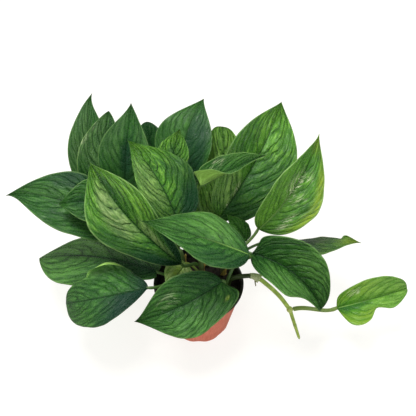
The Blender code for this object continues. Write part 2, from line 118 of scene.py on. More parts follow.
class Graph:
    """Short calls for laying out a shader node tree."""

    def __init__(self, tree: bpy.types.NodeTree) -> None:
        """Work in a node tree."""
        self.tree = tree

    def node(self, kind: str, feeds: Optional[dict] = None, **settings: object) -> bpy.types.Node:
        """Add a node.

        Args:
            kind: The node's type name.
            feeds: Values for its input sockets, by name or number.
            **settings: Properties to set on it.

        Returns:
            The new node.
        """
        made = self.tree.nodes.new(kind)
        for key, setting in settings.items():
            setattr(made, key, setting)
        for key, value in (feeds or {}).items():
            self.feed(made.inputs[key], value)
        return made

    def feed(self, socket: bpy.types.NodeSocket, value: Value) -> None:
        """Link a wire to an input socket, or set the socket's value.

        Args:
            socket: The input to feed.
            value: A wire, a number, three scales or a colour.
        """
        if isinstance(value, Wire):
            self.tree.links.new(value.socket, socket)
        elif isinstance(value, tuple) and socket.type == "RGBA":
            socket.default_value = (*value, 1.0)
        else:
            socket.default_value = value

    def wire(self, kind: str, output: object, feeds: Optional[dict] = None, **settings: object) -> Wire:
        """Add a node and take one of its outputs.

        Args:
            kind: The node's type name.
            output: The output's name or number.
            feeds: Values for its input sockets, by name or number.
            **settings: Properties to set on it.

        Returns:
            The output.
        """
        return Wire(self, self.node(kind, feeds, **settings).outputs[output])

    def math(self, operation: str, *values: Value, clamp: bool = False) -> Wire:
        """Reckon with values in a Math node.

        Args:
            operation: The node's operation.
            *values: Its operands.
            clamp: Whether to hold the result between 0 and 1.

        Returns:
            The result.
        """
        return self.wire("ShaderNodeMath", 0, dict(enumerate(values)), operation=operation, use_clamp=clamp)

    def mix(self, factor: Value, first: Value, second: Value) -> Wire:
        """Mix two colours.

        Args:
            factor: The share of the second colour.
            first: A colour.
            second: Another colour.

        Returns:
            The mixed colour.
        """
        made = self.node("ShaderNodeMix", {"Factor": factor}, data_type="RGBA")
        self.feed(made.inputs["A"], first)
        self.feed(made.inputs["B"], second)
        return Wire(self, next(socket for socket in made.outputs if socket.type == "RGBA"))

    def ramp(self, value: Value, low: float, high: float, to_low: float = 0.0, to_high: float = 1.0) -> Wire:
        """Ease a value from one range to another, clamped at both ends.

        Args:
            value: The value.
            low: Where the range starts.
            high: Where the range ends.
            to_low: The result at its start.
            to_high: The result at its end.

        Returns:
            The eased value.
        """
        feeds = dict(enumerate((value, low, high, to_low, to_high)))
        return self.wire("ShaderNodeMapRange", 0, feeds, interpolation_type="SMOOTHSTEP")

    def noise(self, vector: Value, scale: float, detail: float = 3.0, rough: float = 0.55) -> Wire:
        """Lay noise over a vector.

        Args:
            vector: The coordinates.
            scale: Its patches in one unit of them.
            detail: How many finer layers it has.
            rough: How strong the finer layers are.

        Returns:
            The noise, 0 to 1.
        """
        feeds = {"Vector": vector, "Scale": scale, "Detail": detail, "Roughness": rough}
        return self.wire("ShaderNodeTexNoise", "Fac", feeds)

    def cells(self, vector: Value, feature: str) -> Wire:
        """Return the distance in a pattern of cells, from what the feature names."""
        feeds = {"Vector": vector, "Scale": 1.0}
        return self.wire("ShaderNodeTexVoronoi", "Distance", feeds, feature=feature)

    def vector(self, *parts: Value) -> Wire:
        """Return a vector made of three values."""
        return self.wire("ShaderNodeCombineXYZ", 0, dict(enumerate(parts)))

    def parts(self, vector: Value) -> list[Wire]:
        """Return the three values of a vector."""
        return [Wire(self, socket) for socket in self.node("ShaderNodeSeparateXYZ", {0: vector}).outputs]

    def stretched(self, vector: Value, scale: Place) -> Wire:
        """Return a vector with each part scaled."""
        return self.wire("ShaderNodeMapping", 0, {"Vector": vector, "Scale": scale})

    def place(self) -> Wire:
        """Return the object's own coordinates, in metres."""
        return self.wire("ShaderNodeTexCoord", "Object")

    def blade_place(self) -> Wire:
        """Return where a point is on its blade, or on the length of its stalk."""
        return self.wire("ShaderNodeUVMap", 0, uv_map=BLADE_MAP)

    def attribute(self, name: str) -> Wire:
        """Return a value that the mesh carries at its points."""
        return self.wire("ShaderNodeAttribute", "Fac", attribute_name=name)

    def bump(self, height: Value, strength: float, distance: float) -> Wire:
        """Return a normal bent by a height, whose full range stands for a distance in metres."""
        return self.wire("ShaderNodeBump", 0, {"Strength": strength, "Distance": distance, "Height": height})

    def use(self, group: bpy.types.NodeTree, **values: Value) -> dict[str, Wire]:
        """Place a node group.

        Args:
            group: The group.
            **values: Its inputs, by name.

        Returns:
            Its outputs, by name.
        """
        made = self.node("ShaderNodeGroup")
        made.node_tree = group
        for name, value in values.items():
            self.feed(made.inputs[name], value)
        return {socket.name: Wire(self, socket) for socket in made.outputs}


class Group:
    """A shader node group in the making: its graph, its named inputs and its named outputs."""

    def __init__(self, name: str, inputs: dict[str, float], outputs: Sequence[str]) -> None:
        """Start the group.

        Args:
            name: The group's name.
            inputs: Each input and its default value.
            outputs: The name of each output.
        """
        tree = bpy.data.node_groups.new(name, "ShaderNodeTree")
        for label, value in inputs.items():
            socket = tree.interface.new_socket(label, in_out="INPUT", socket_type="NodeSocketFloat")
            socket.default_value = value
        for label in outputs:
            tree.interface.new_socket(label, in_out="OUTPUT", socket_type="NodeSocketFloat")
        self.graph = Graph(tree)
        source = self.graph.node("NodeGroupInput")
        self.given = {label: Wire(self.graph, source.outputs[label]) for label in inputs}
        self.out = self.graph.node("NodeGroupOutput")

    def close(self, **outputs: Wire) -> bpy.types.NodeTree:
        """Feed the outputs.

        Args:
            **outputs: What each output gives, by name.

        Returns:
            The finished group.
        """
        for label, value in outputs.items():
            self.graph.feed(self.out.inputs[label], value)
        return self.graph.tree


class Paint:
    """A material in the making: its graph and its Principled shader."""

    def __init__(self, name: str) -> None:
        """Start the material.

        Args:
            name: The material's name.
        """
        self.material = bpy.data.materials.new(name)
        self.material.use_nodes = True
        self.graph = Graph(self.material.node_tree)
        self.shader = self.material.node_tree.nodes["Principled BSDF"]

    def close(self, feeds: dict[str, Value]) -> bpy.types.Material:
        """Feed the shader.

        Args:
            feeds: What each of its sockets takes, by name.

        Returns:
            The finished material.
        """
        for label, value in feeds.items():
            self.graph.feed(self.shader.inputs[label], value)
        return self.material


class LeafAge(Enum):
    """How old a leaf's tissue looks."""

    MATURE = "mature"
    FRESH = "fresh"
    YOUNG = "young"


@dataclass(frozen=True)
class LeafFinish:
    """Colours and gloss of one age of leaf.

    groove is the colour along the sunken veins, partly their own darker colour and partly painted
    shade in them; shade and lamina the dark and light colours between them, which the painted shade
    of the hollows and the painted light of the puffs run between, together with patches of random
    tone; pale a light yellow-green of young tissue, also laid as painted highlights on the puffs and
    as painted light on some shaded leaves; sheen a painted reflection beside some ribs, a bleached
    olive; dusk the painted shade, a blue-green; and under the colour of the lower side.
    """

    groove: Colour
    shade: Colour
    lamina: Colour
    pale: Colour
    sheen: Colour
    dusk: Colour
    under: Colour
    roughness: float


LEAF_FINISHES = {
    LeafAge.MATURE: LeafFinish((0.006, 0.036, 0.009), (0.014, 0.070, 0.012), (0.042, 0.158, 0.021),
                               (0.135, 0.330, 0.065), (0.21, 0.35, 0.13), (0.008, 0.044, 0.022),
                               (0.17, 0.32, 0.06), 0.30),
    LeafAge.FRESH: LeafFinish((0.008, 0.044, 0.009), (0.024, 0.106, 0.013), (0.088, 0.280, 0.026),
                              (0.245, 0.505, 0.060), (0.33, 0.45, 0.17), (0.011, 0.060, 0.020),
                              (0.24, 0.40, 0.06), 0.28),
    LeafAge.YOUNG: LeafFinish((0.012, 0.060, 0.007), (0.042, 0.165, 0.014), (0.110, 0.330, 0.024),
                              (0.320, 0.540, 0.110), (0.40, 0.46, 0.20), (0.020, 0.100, 0.020),
                              (0.30, 0.48, 0.08), 0.28),
}
# Colours laid over the leaves, in turn: the painted glints, the painted highlight along the edge, yellowed
# tissue, the pale rib, and the dark and light of a pale lower side, which is partly painted light.
PAINTED_GLINT_COLOUR = (0.62, 0.70, 0.42)
RIM_HIGHLIGHT = (0.30, 0.50, 0.15)
YELLOWED = (0.30, 0.44, 0.04)
RIB_LIGHT = (0.30, 0.56, 0.11)
PALE_UNDER_DEEP, PALE_UNDER_LIGHT = (0.27, 0.52, 0.07), (0.42, 0.74, 0.14)


@dataclass(frozen=True)
class Fibre:
    """Noise drawn out along one axis: its patches in a unit of each axis, and the range that shows.

    It lies over the object's own metres, or over the length of a stalk.
    """

    scale: Place
    low: float
    high: float
    detail: float = 2.0
    on_stalk: bool = False


@dataclass(frozen=True)
class Layer:
    """A colour laid over a finish: the mask or mesh value that it follows, and its share there."""

    mask: str
    colour: Colour
    share: float = 1.0


@dataclass(frozen=True)
class Coat:
    """How rough and how uneven a finish is, and which masks the two follow.

    The roughness runs from its first to its second value. depth is the height in metres that the
    relief's full range stands for.
    """

    rough_mask: str
    roughness: Span
    relief_mask: str
    strength: float
    depth: float


@dataclass(frozen=True)
class Finish:
    """A plain finish: a mask runs it from dark to light, and layers are laid over that.

    patches is how many patches of tone a metre has, streaks the number of streaks in a radian
    round the pot, and climb the heights in metres between which a stem turns green.
    """

    name: str
    patches: float
    mask: str
    dark: Colour
    light: Colour
    layers: tuple[Layer, ...]
    coat: Coat
    share: float = 1.0
    fibre: Optional[Fibre] = None
    streaks: float = 0.0
    climb: Optional[Span] = None


STALK = Finish("leafstalk", 90.0, "Fibre", (0.028, 0.085, 0.014), (0.100, 0.200, 0.036),
               (Layer("Cloud", (0.055, 0.130, 0.022), 0.4), Layer("pale", (0.240, 0.340, 0.060))),
               Coat("Speck", (0.36, 0.5), "Grain", 0.25, 0.0004),
               fibre=Fibre((34.0, 2.0, 1.0), 0.35, 0.7, on_stalk=True))
BARK = Finish("stem_bark", 160.0, "Climb", (0.085, 0.060, 0.028), (0.090, 0.170, 0.040),
              (Layer("Speck", (0.150, 0.150, 0.060), 0.5),),
              Coat("Cloud", (0.45, 0.7), "Speck", 0.5, 0.0006), climb=(0.074, 0.100))
# The trailing stem's layers: speckle, paleness at its knots and tip, painted shade where the plant shades
# it, and brown on its air root.
RUNNER_SKIN = Finish("runner_skin", 120.0, "Cloud", (0.190, 0.300, 0.026), (0.400, 0.540, 0.085),
                     (Layer("Speck", (0.310, 0.380, 0.090), 0.3), Layer("pale", (0.470, 0.540, 0.170)),
                      Layer("dusk", (0.014, 0.030, 0.008)), Layer("gold", (0.090, 0.062, 0.030))),
                     Coat("Speck", (0.34, 0.5), "Speck", 0.3, 0.0004))
DRY_SHEATH = Finish("dry_sheath", 200.0, "Fibre", (0.230, 0.270, 0.110), (0.480, 0.530, 0.310),
                    (Layer("Cloud", (0.290, 0.350, 0.150), 0.5), Layer("gold", (0.520, 0.330, 0.050))),
                    Coat("Speck", (0.6, 0.8), "Grain", 0.4, 0.0003),
                    fibre=Fibre((900.0, 900.0, 60.0), 0.3, 0.7))
TERRACOTTA = Finish("pot_terracotta_plastic", 45.0, "Streak", (0.560, 0.125, 0.068), (0.730, 0.225, 0.142),
                    (Layer("Cloud", (0.480, 0.105, 0.064), 0.35), Layer("Rub", (0.700, 0.300, 0.220), 0.6)),
                    Coat("Speck", (0.34, 0.5), "Streak", 0.25, 0.0003), streaks=52.0)
BLACK_PLASTIC = Finish("pot_black_plastic", 140.0, "Speck", (0.008, 0.008, 0.009), (0.045, 0.040, 0.036),
                       (Layer("Rub", (0.085, 0.080, 0.078), 0.5),),
                       Coat("Cloud", (0.26, 0.42), "Streak", 0.2, 0.0003), share=0.5, streaks=40.0)
PEAT = Finish("peat", 260.0, "Cloud", (0.010, 0.007, 0.005), (0.045, 0.030, 0.020),
              (Layer("Fibre", (0.130, 0.085, 0.045), 0.6),),
              Coat("Speck", (0.75, 0.98), "Speck", 0.9, 0.0012),
              fibre=Fibre((420.0, 900.0, 420.0), 0.58, 0.72, detail=4.0))


class Finishes:
    """Builds each shared node group and each material once."""

    UPPER_PATCHES = 55.0
    UNDER_PATCHES = 70.0

    def __init__(self) -> None:
        """Make the shared groups."""
        self.veins = self.make_vein_group()
        self.mottle = self.make_mottle_group()
        self.wear = self.make_wear_group()

    def make_vein_group(self) -> bpy.types.NodeTree:
        """Make the group that draws a leaf's rib and veins, and the tissue between them.

        Returns:
            The group. Count is the number of side veins a half, Sweep how far they run forward, and
            Seed makes one leaf's pattern differ from another's.
        """
        group = Group("leaf_veins", {"Count": 9.0, "Sweep": VEIN_SWEEP, "Seed": 0.0},
                      ("Vein", "Rib", "Quilt", "Height", "Cell", "Net", "Spots", "Glint", "Rim"))
        graph, seed = group.graph, group.given["Seed"]
        across, along = graph.parts(graph.blade_place())[:2]
        signed = (across - 0.5) * 2.0
        reach = abs(signed)
        left = graph.math("LESS_THAN", signed, 0.0)
        spot = graph.vector(across, along, seed)

        # The phase counts the side veins from the base, and is whole midway between two of them.
        drift = (graph.noise(spot, 7.0, 4.0, 0.65) - 0.5) * 0.13
        curve = reach * (reach * VEIN_BOW + VEIN_START)
        phase = (along - curve * group.given["Sweep"] + drift) * group.given["Count"]
        phase = phase + left * VEIN_STAGGER
        phase = phase + graph.math("SINE", phase * VEIN_BEAT + seed) * VEIN_UNEVEN
        off = self.saw(graph, phase, 1.0)

        # Lines: the side veins, finer ones between them, the loop that joins them, and the rib.
        near_edge = graph.ramp(reach, 0.62, 0.95, 1.0, 0.05)
        patchy = graph.ramp(graph.noise(spot, 11.0, 3.0), 0.34, 0.56, 0.2, 1.0)
        wide = graph.ramp(reach, 0.0, 0.9, 0.19, 0.11)
        vein = graph.ramp(off / wide, 0.1, 1.0, 1.0, 0.0) * near_edge * patchy
        fine = graph.ramp(self.saw(graph, phase, 3.0), 0.0, 0.3, 1.0, 0.0)
        fine = fine * graph.ramp(graph.noise(spot, 13.0, 2.0), 0.46, 0.66, 0.0, 0.45)
        loop = graph.ramp(abs(reach - (drift + 0.84)), 0.0, 0.035, 0.55, 0.0)
        rib = graph.ramp(reach / (0.055 - along * 0.035), 0.2, 1.0, 1.0, 0.0)

        # Tissue: the puffed quilt between the veins, the net of cells in it, pale spots and patches.
        quilt = graph.ramp(off, 0.0, 0.55) * graph.ramp(reach, 0.02, 0.20)
        cells = graph.vector(phase * 2.8, signed * 8.0, seed)
        net = graph.ramp(graph.cells(cells, "DISTANCE_TO_EDGE"), 0.0, 0.16, 1.0, 0.0)
        spots = graph.ramp(graph.cells(cells, "F1"), 0.1, 0.5, 1.0, 0.0)
        spots = spots * graph.ramp(graph.noise(spot, 7.0, 2.0), 0.4, 0.6) * graph.ramp(off, 0.15, 0.5)
        patch = graph.ramp(graph.noise(cells, 0.9, 4.0, 0.7), 0.36, 0.64)

        # Painted glints show as short dashes along the veins, and the painted highlight along the edge as a
        # thin line.
        dashes = graph.noise(graph.vector(phase * 9.0, signed * 4.5, seed), 1.0, 2.0, 0.5)
        glints = graph.ramp(dashes, 0.50, 0.62) * graph.ramp(graph.noise(spot, 6.0, 2.0), 0.38, 0.52)
        lines = vein.or_more(rib).or_more(fine * 0.5)
        height = quilt * 0.55 - lines * 0.7 - net * 0.22 + patch * 0.4 + spots * 0.25
        return group.close(Vein=vein.or_more(fine).or_more(loop), Rib=rib, Quilt=quilt, Height=height,
                           Cell=patch, Net=net, Spots=spots, Glint=glints,
                           Rim=graph.ramp(reach, 0.95, 0.985))

    def saw(self, graph: Graph, phase: Wire, times: float) -> Wire:
        """Return how far a phase is from its nearest half turn, 0 to 1.

        Args:
            graph: The graph to work in.
            phase: The phase, in turns.
            times: How many turns to make of each.

        Returns:
            0 at each half turn and 1 at each whole one.
        """
        above_zero = 60.0
        return abs(graph.math("FRACT", phase * times + above_zero) - 0.5) * 2.0

    def make_mottle_group(self) -> bpy.types.NodeTree:
        """Make the group of uneven tone shared by leaves, stems, plastic and soil.

        Returns:
            The group. Size is in patches a metre; Cloud is broad and Speck is fine.
        """
        group = Group("mottle", {"Size": 60.0}, ("Cloud", "Speck"))
        graph = group.graph
        feeds = {0: graph.place(), "Scale": group.given["Size"]}
        spot = graph.wire("ShaderNodeVectorMath", 0, feeds, operation="SCALE")
        return group.close(Cloud=graph.ramp(graph.noise(spot, 1.0), 0.3, 0.7),
                           Speck=graph.ramp(graph.noise(spot, 9.0, 2.0), 0.35, 0.75))

    def make_wear_group(self) -> bpy.types.NodeTree:
        """Make the group of fine upright streaks and rubbed edges on the pot's plastic.

        Returns:
            The group. Streaks is the number round the pot in a radian.
        """
        group = Group("plastic_wear", {"Streaks": 60.0}, ("Streak", "Rub"))
        graph = group.graph
        x, y, z = graph.parts(graph.place())
        angle = graph.math("ARCTAN2", y, x)
        drawn = graph.noise(graph.vector(angle * group.given["Streaks"], z * 40.0), 1.0, 3.0)
        edge = graph.wire("ShaderNodeNewGeometry", "Pointiness")
        return group.close(Streak=graph.ramp(drawn, 0.32, 0.68), Rub=graph.ramp(edge, 0.52, 0.60))

    @cache
    def leaf(self, age: LeafAge, veins: int) -> bpy.types.Material:
        """Make the material of a leaf's upper side.

        Args:
            age: The leaf's age.
            veins: Its number of side veins a half.

        Returns:
            The material.
        """
        finish = LEAF_FINISHES[age]
        paint = Paint(f"leaf_{age.value}_{veins}")
        graph = paint.graph
        drawn = graph.use(self.veins, Count=float(veins), Seed=graph.attribute("seed"))
        tone = graph.use(self.mottle, Size=self.UPPER_PATCHES)
        etch = graph.attribute("etch")

        # The tissue: from shade to lamina, painted lighter on the puffs between the veins and darker in the
        # hollows, as painted light and shade of the relief mixed with patches of random tone, with painted
        # highlights on the highest puffs and pale spots where the pattern is strong.
        light = (drawn["Quilt"] + 0.4) * drawn["Cell"]
        blend = (light * (etch * 0.85 + 0.15) + tone["Cloud"] * 0.45).held(0.06)
        colour = graph.mix(blend, finish.shade, finish.lamina)
        colour = graph.mix(graph.ramp(light, 0.75, 1.4) * (etch * 0.6), colour, finish.pale)
        colour = graph.mix(drawn["Spots"] * (etch * 0.55), colour, finish.pale)

        # The tones that the leaf's patches carry, shown most where the puffs are painted lighter: pale, a
        # painted reflection and yellowed tissue, then painted shade.
        lit = (light * 0.75).held(0.3)
        for tint, shown in (("pale", finish.pale), ("sheen", finish.sheen), ("gold", YELLOWED)):
            colour = graph.mix(graph.attribute(tint) * lit, colour, shown)
        colour = graph.mix(graph.attribute("dusk"), colour, finish.dusk)

        # The lines: veins and net, darkened partly in their own colour and partly with painted shade in the
        # grooves; the rib; the painted glints; and the painted highlight along the edge.
        lines = drawn["Vein"].or_more(drawn["Net"] * 0.30) * etch * 0.95
        colour = graph.mix(lines, colour, finish.groove)
        rib = graph.mix(graph.attribute("rib"), finish.groove, RIB_LIGHT)
        colour = graph.mix(drawn["Rib"] * 0.85, colour, rib)
        colour = graph.mix(drawn["Glint"] * graph.attribute("wax"), colour, PAINTED_GLINT_COLOUR)
        colour = graph.mix(drawn["Rim"] * graph.attribute("margin"), colour, RIM_HIGHLIGHT)

        rough = graph.ramp(tone["Speck"], 0.0, 1.0, finish.roughness - 0.05, finish.roughness + 0.10)
        height = drawn["Height"] * (etch + 0.15) + tone["Speck"] * 0.08
        return paint.close({"Base Color": colour, "Roughness": rough,
                            "Normal": graph.bump(height, 1.0, 0.0017), "Specular IOR Level": 0.3})

    @cache
    def leaf_under(self, age: LeafAge, veins: int) -> bpy.types.Material:
        """Make the material of a leaf's lower side: paler, dull, with rib and veins standing proud.

        Args:
            age: The leaf's age.
            veins: Its number of side veins a half.

        Returns:
            The material.
        """
        under = LEAF_FINISHES[age].under
        deep = tuple(part * 0.55 for part in under)
        light = tuple(min(1.0, part * 1.9) for part in under)
        paint = Paint(f"leaf_under_{age.value}_{veins}")
        graph = paint.graph
        drawn = graph.use(self.veins, Count=float(veins), Seed=graph.attribute("seed"))
        tone = graph.use(self.mottle, Size=self.UNDER_PATCHES)
        colour = graph.mix((drawn["Cell"] * 0.6).held(tone["Cloud"] * 0.5), deep, under)
        # Where the mesh carries pale, the lower side turns a light yellow-green: partly its own paler colour
        # and partly painted light, where a lower side is seen in shade.
        pale_under = graph.mix(drawn["Cell"], PALE_UNDER_DEEP, PALE_UNDER_LIGHT)
        colour = graph.mix(graph.attribute("pale"), colour, pale_under)
        colour = graph.mix(drawn["Vein"].or_more(drawn["Rib"]) * 0.6, colour, light)
        return paint.close({"Base Color": colour,
                            "Roughness": graph.ramp(tone["Speck"], 0.0, 1.0, 0.48, 0.62),
                            "Normal": graph.bump(drawn["Height"] * -1.0, 0.5, 0.0008)})

    @cache
    def plain(self, finish: Finish) -> bpy.types.Material:
        """Make the material of a plain finish.

        Args:
            finish: The finish.

        Returns:
            The material.
        """
        paint = Paint(finish.name)
        graph, coat = paint.graph, finish.coat
        masks = graph.use(self.mottle, Size=finish.patches)
        if finish.streaks:
            masks |= graph.use(self.wear, Streaks=finish.streaks)
        if finish.climb:
            masks["Climb"] = graph.ramp(graph.parts(graph.place())[2], *finish.climb)
        if finish.fibre:
            fibre = finish.fibre
            source = graph.blade_place() if fibre.on_stalk else graph.place()
            masks["Grain"] = graph.noise(graph.stretched(source, fibre.scale), 1.0, fibre.detail)
            masks["Fibre"] = graph.ramp(masks["Grain"], fibre.low, fibre.high)
        colour = graph.mix(self.shared(masks[finish.mask], finish.share), finish.dark, finish.light)
        for layer in finish.layers:
            mask = masks[layer.mask] if layer.mask in masks else graph.attribute(layer.mask)
            colour = graph.mix(self.shared(mask, layer.share), colour, layer.colour)
        return paint.close({"Base Color": colour,
                            "Roughness": graph.ramp(masks[coat.rough_mask], 0.0, 1.0, *coat.roughness),
                            "Normal": graph.bump(masks[coat.relief_mask], coat.strength, coat.depth)})

    def shared(self, mask: Wire, share: float) -> Wire:
        """Return a mask brought down to a share."""
        return mask if share == 1.0 else mask * share

    @cache
    def backdrop(self) -> bpy.types.Material:
        """Make the floor's material: matt, glowing white, but dim where the leaves' gloss reflects it.

        Returns:
            The material.
        """
        paint = Paint("white_floor")
        graph = paint.graph
        tone = graph.use(self.mottle, Size=3.0)
        glossy = graph.wire("ShaderNodeLightPath", "Is Glossy Ray")
        return paint.close({
            "Base Color": graph.mix(tone["Cloud"], (0.260, 0.254, 0.240), (0.268, 0.262, 0.247)),
            "Roughness": 0.9, "Specular IOR Level": 0.0, "Emission Color": (1.0, 0.990, 0.970),
            "Emission Strength": 0.81 - glossy * 0.79})


class Tone(Enum):
    """What a patch of a leaf turns to, named as the mesh value that carries it: pale tissue, which on some
    leaves is painted light; a painted reflection; yellowed tissue; painted glints; and painted shade.
    """

    PALE = "pale"
    SHEEN = "sheen"
    GOLD = "gold"
    WAX = "wax"
    DUSK = "dusk"


def hump(value: np.ndarray, middle: float, reach: float) -> np.ndarray:
    """Return a bell curve of a value: 1 at its middle, and faded a little past its reach."""
    return np.exp(-((value - middle) / reach) ** 2)


def grid_faces(rows: int, columns: int, closed: bool = False, flip: bool = False) -> list:
    """List the four-sided faces of a grid of points.

    Args:
        rows: Rows of points.
        columns: Points in each row.
        closed: Whether each row runs round and meets itself.
        flip: Whether to turn the faces over.

    Returns:
        The faces.
    """
    faces = []
    for row in range(rows - 1):
        for column in range(columns if closed else columns - 1):
            after = (column + 1) % columns
            face = (row * columns + column, row * columns + after,
                    (row + 1) * columns + after, (row + 1) * columns + column)
            faces.append(face[::-1] if flip else face)
    return faces


def sheet_faces(rows: int, columns: int) -> tuple[list, list]:
    """List the faces of a thin sheet: two grids of points, one under the other, joined at the rim.

    Args:
        rows: Rows of points in each grid.
        columns: Points in each row.

    Returns:
        The faces of the top and the rim, and those of the bottom.
    """
    count = rows * columns
    rim = list(range(columns))
    rim += [row * columns + columns - 1 for row in range(1, rows)]
    rim += [(rows - 1) * columns + column for column in range(columns - 2, -1, -1)]
    rim += [row * columns for row in range(rows - 2, 0, -1)]
    top = grid_faces(rows, columns)
    edge = [(after, before, before + count, after + count) for before, after in zip(rim[-1:] + rim, rim)]
    return top + edge, [tuple(index + count for index in face)[::-1] for face in top]


def ball_patch(subdivisions: int, radius: float) -> tuple[np.ndarray, list]:
    """Return the points and faces of a ball round the origin.

    Args:
        subdivisions: How often its faces are split.
        radius: Its radius, in mm.

    Returns:
        Its points and its faces.
    """
    work = bmesh.new()
    bmesh.ops.create_icosphere(work, subdivisions=subdivisions, radius=radius)
    points = np.array([tuple(vertex.co) for vertex in work.verts])
    faces = [tuple(vertex.index for vertex in face.verts) for face in work.faces]
    work.free()
    return points, faces


def tube_patch(route: np.ndarray, radii: np.ndarray, sides: int = 14,
               shape: Optional[Callable[[float, float], float]] = None
               ) -> tuple[np.ndarray, list, np.ndarray]:
    """Lay a closed tube along a route.

    Args:
        route: Points along its middle, in mm.
        radii: Its radius at each point.
        sides: Points round it.
        shape: Extra radius factor for an angle in radians and a share of the length.

    Returns:
        Its points, its faces with both ends capped, and surface coordinates.
    """
    count = len(route)
    ahead = np.gradient(route, axis=0)
    ahead /= np.linalg.norm(ahead, axis=1, keepdims=True)
    upright = abs(ahead[0][2]) >= 0.9
    side = np.cross(ahead[0], (0.0, 1.0, 0.0) if upright else (0.0, 0.0, 1.0))
    points, surface = [], []
    for index in range(count):
        side = side - ahead[index] * np.dot(side, ahead[index])
        side /= np.linalg.norm(side)
        other = np.cross(ahead[index], side)
        share = index / (count - 1)
        for step in range(sides):
            angle = math.tau * step / sides
            radius = radii[index] * (shape(angle, share) if shape else 1.0)
            points.append(route[index] + radius * (side * math.cos(angle) + other * math.sin(angle)))
            surface.append((abs(2.0 * step / sides - 1.0), share))
    faces = grid_faces(count, sides, closed=True)
    faces.append(tuple(range(sides))[::-1])
    faces.append(tuple((count - 1) * sides + step for step in range(sides)))
    return np.array(points), faces, np.array(surface)


def smooth_route(points: Sequence[Place], steps: int = 8) -> np.ndarray:
    """Draw a smooth curve through points, as a Catmull-Rom spline.

    Args:
        points: The points it passes, in mm.
        steps: Steps in each span.

    Returns:
        The points of the curve.
    """
    spots = np.array(points, float)
    spots = np.vstack((2 * spots[0] - spots[1], spots, 2 * spots[-1] - spots[-2]))
    route = []
    for index in range(1, len(spots) - 2):
        before, start, end, after = spots[index - 1:index + 3]
        for step in range(steps):
            t = step / steps
            route.append(0.5 * (2 * start + (end - before) * t
                                + (2 * before - 5 * start + 4 * end - after) * t * t
                                + (3 * start - before - 3 * end + after) * t ** 3))
    route.append(spots[-2])
    return np.array(route)


def swung(way: np.ndarray, turn: float) -> np.ndarray:
    """Return a level direction swung about the upright by a turn in degrees."""
    cos, sin = math.cos(math.radians(turn)), math.sin(math.radians(turn))
    return np.array((way[0] * cos - way[1] * sin, way[0] * sin + way[1] * cos, 0.0))


@dataclass
class Shell:
    """A mesh in the making: points in mm, faces, and what each point and face carries."""

    CARRIED = tuple(tone.value for tone in Tone) + ("margin", "etch", "rib", "seed")

    points: list = field(default_factory=list)
    faces: list = field(default_factory=list)
    surface: list = field(default_factory=list)
    slots: list = field(default_factory=list)
    carried: dict = field(default_factory=lambda: {label: [] for label in Shell.CARRIED})

    def add(self, points: np.ndarray, faces: list, slot: int, surface: Optional[np.ndarray] = None,
            **values: object) -> None:
        """Add a patch.

        Args:
            points: Its points, in mm.
            faces: Its faces, counted from its own first point.
            slot: The material slot of its faces.
            surface: Two surface coordinates for each point.
            **values: What each point carries, 0 to 1: how pale it is, how much painted reflection it
            takes (sheen), how yellowed (gold), how much painted glint (wax), how much painted shade
            (dusk), how strong the painted highlight on its edge is (margin), how strongly its veins
            show (etch), how pale its rib is, and the seed of its veins.
        """
        start, count = len(self.points), len(points)
        self.points.extend(points.tolist())
        self.faces.extend([tuple(start + index for index in face) for face in faces])
        self.slots.extend([slot] * len(faces))
        self.surface.extend((np.zeros((count, 2)) if surface is None else surface).tolist())
        for label, kept in self.carried.items():
            kept.extend(np.broadcast_to(values.get(label, 0.0), count).tolist())

    def build(self, name: str, materials: Sequence[bpy.types.Material]) -> bpy.types.Object:
        """Make the object.

        Args:
            name: The piece's name.
            materials: One material for each slot.

        Returns:
            The object, smooth shaded and linked to the scene.
        """
        mesh = bpy.data.meshes.new(name)
        mesh.from_pydata((np.array(self.points) * MM).tolist(), [], self.faces)
        for material in materials:
            mesh.materials.append(material)
        mesh.polygons.foreach_set("material_index", self.slots)
        for label, values in self.carried.items():
            mesh.attributes.new(label, "FLOAT", "POINT").data.foreach_set("value", values)
        corners = np.zeros(len(mesh.loops), dtype=np.int32)
        mesh.loops.foreach_get("vertex_index", corners)
        layer = mesh.uv_layers.new(name=BLADE_MAP)
        layer.data.foreach_set("uv", np.array(self.surface)[corners].astype(np.float32).ravel())
        mesh.shade_smooth()
        mesh.validate()
        piece = bpy.data.objects.new(name, mesh)
        bpy.context.scene.collection.objects.link(piece)
        return piece


def settle(piece: bpy.types.Object, node: str) -> bpy.types.Object:
    """Tie a piece to the root body and the solid it stands for.

    Args:
        piece: The piece.
        node: The solid that it replaces.

    Returns:
        The same piece.
    """
    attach(piece, BODY)
    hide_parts(node)
    log.info("%s: %d faces for %s", piece.name, len(piece.data.polygons), node)
    return piece


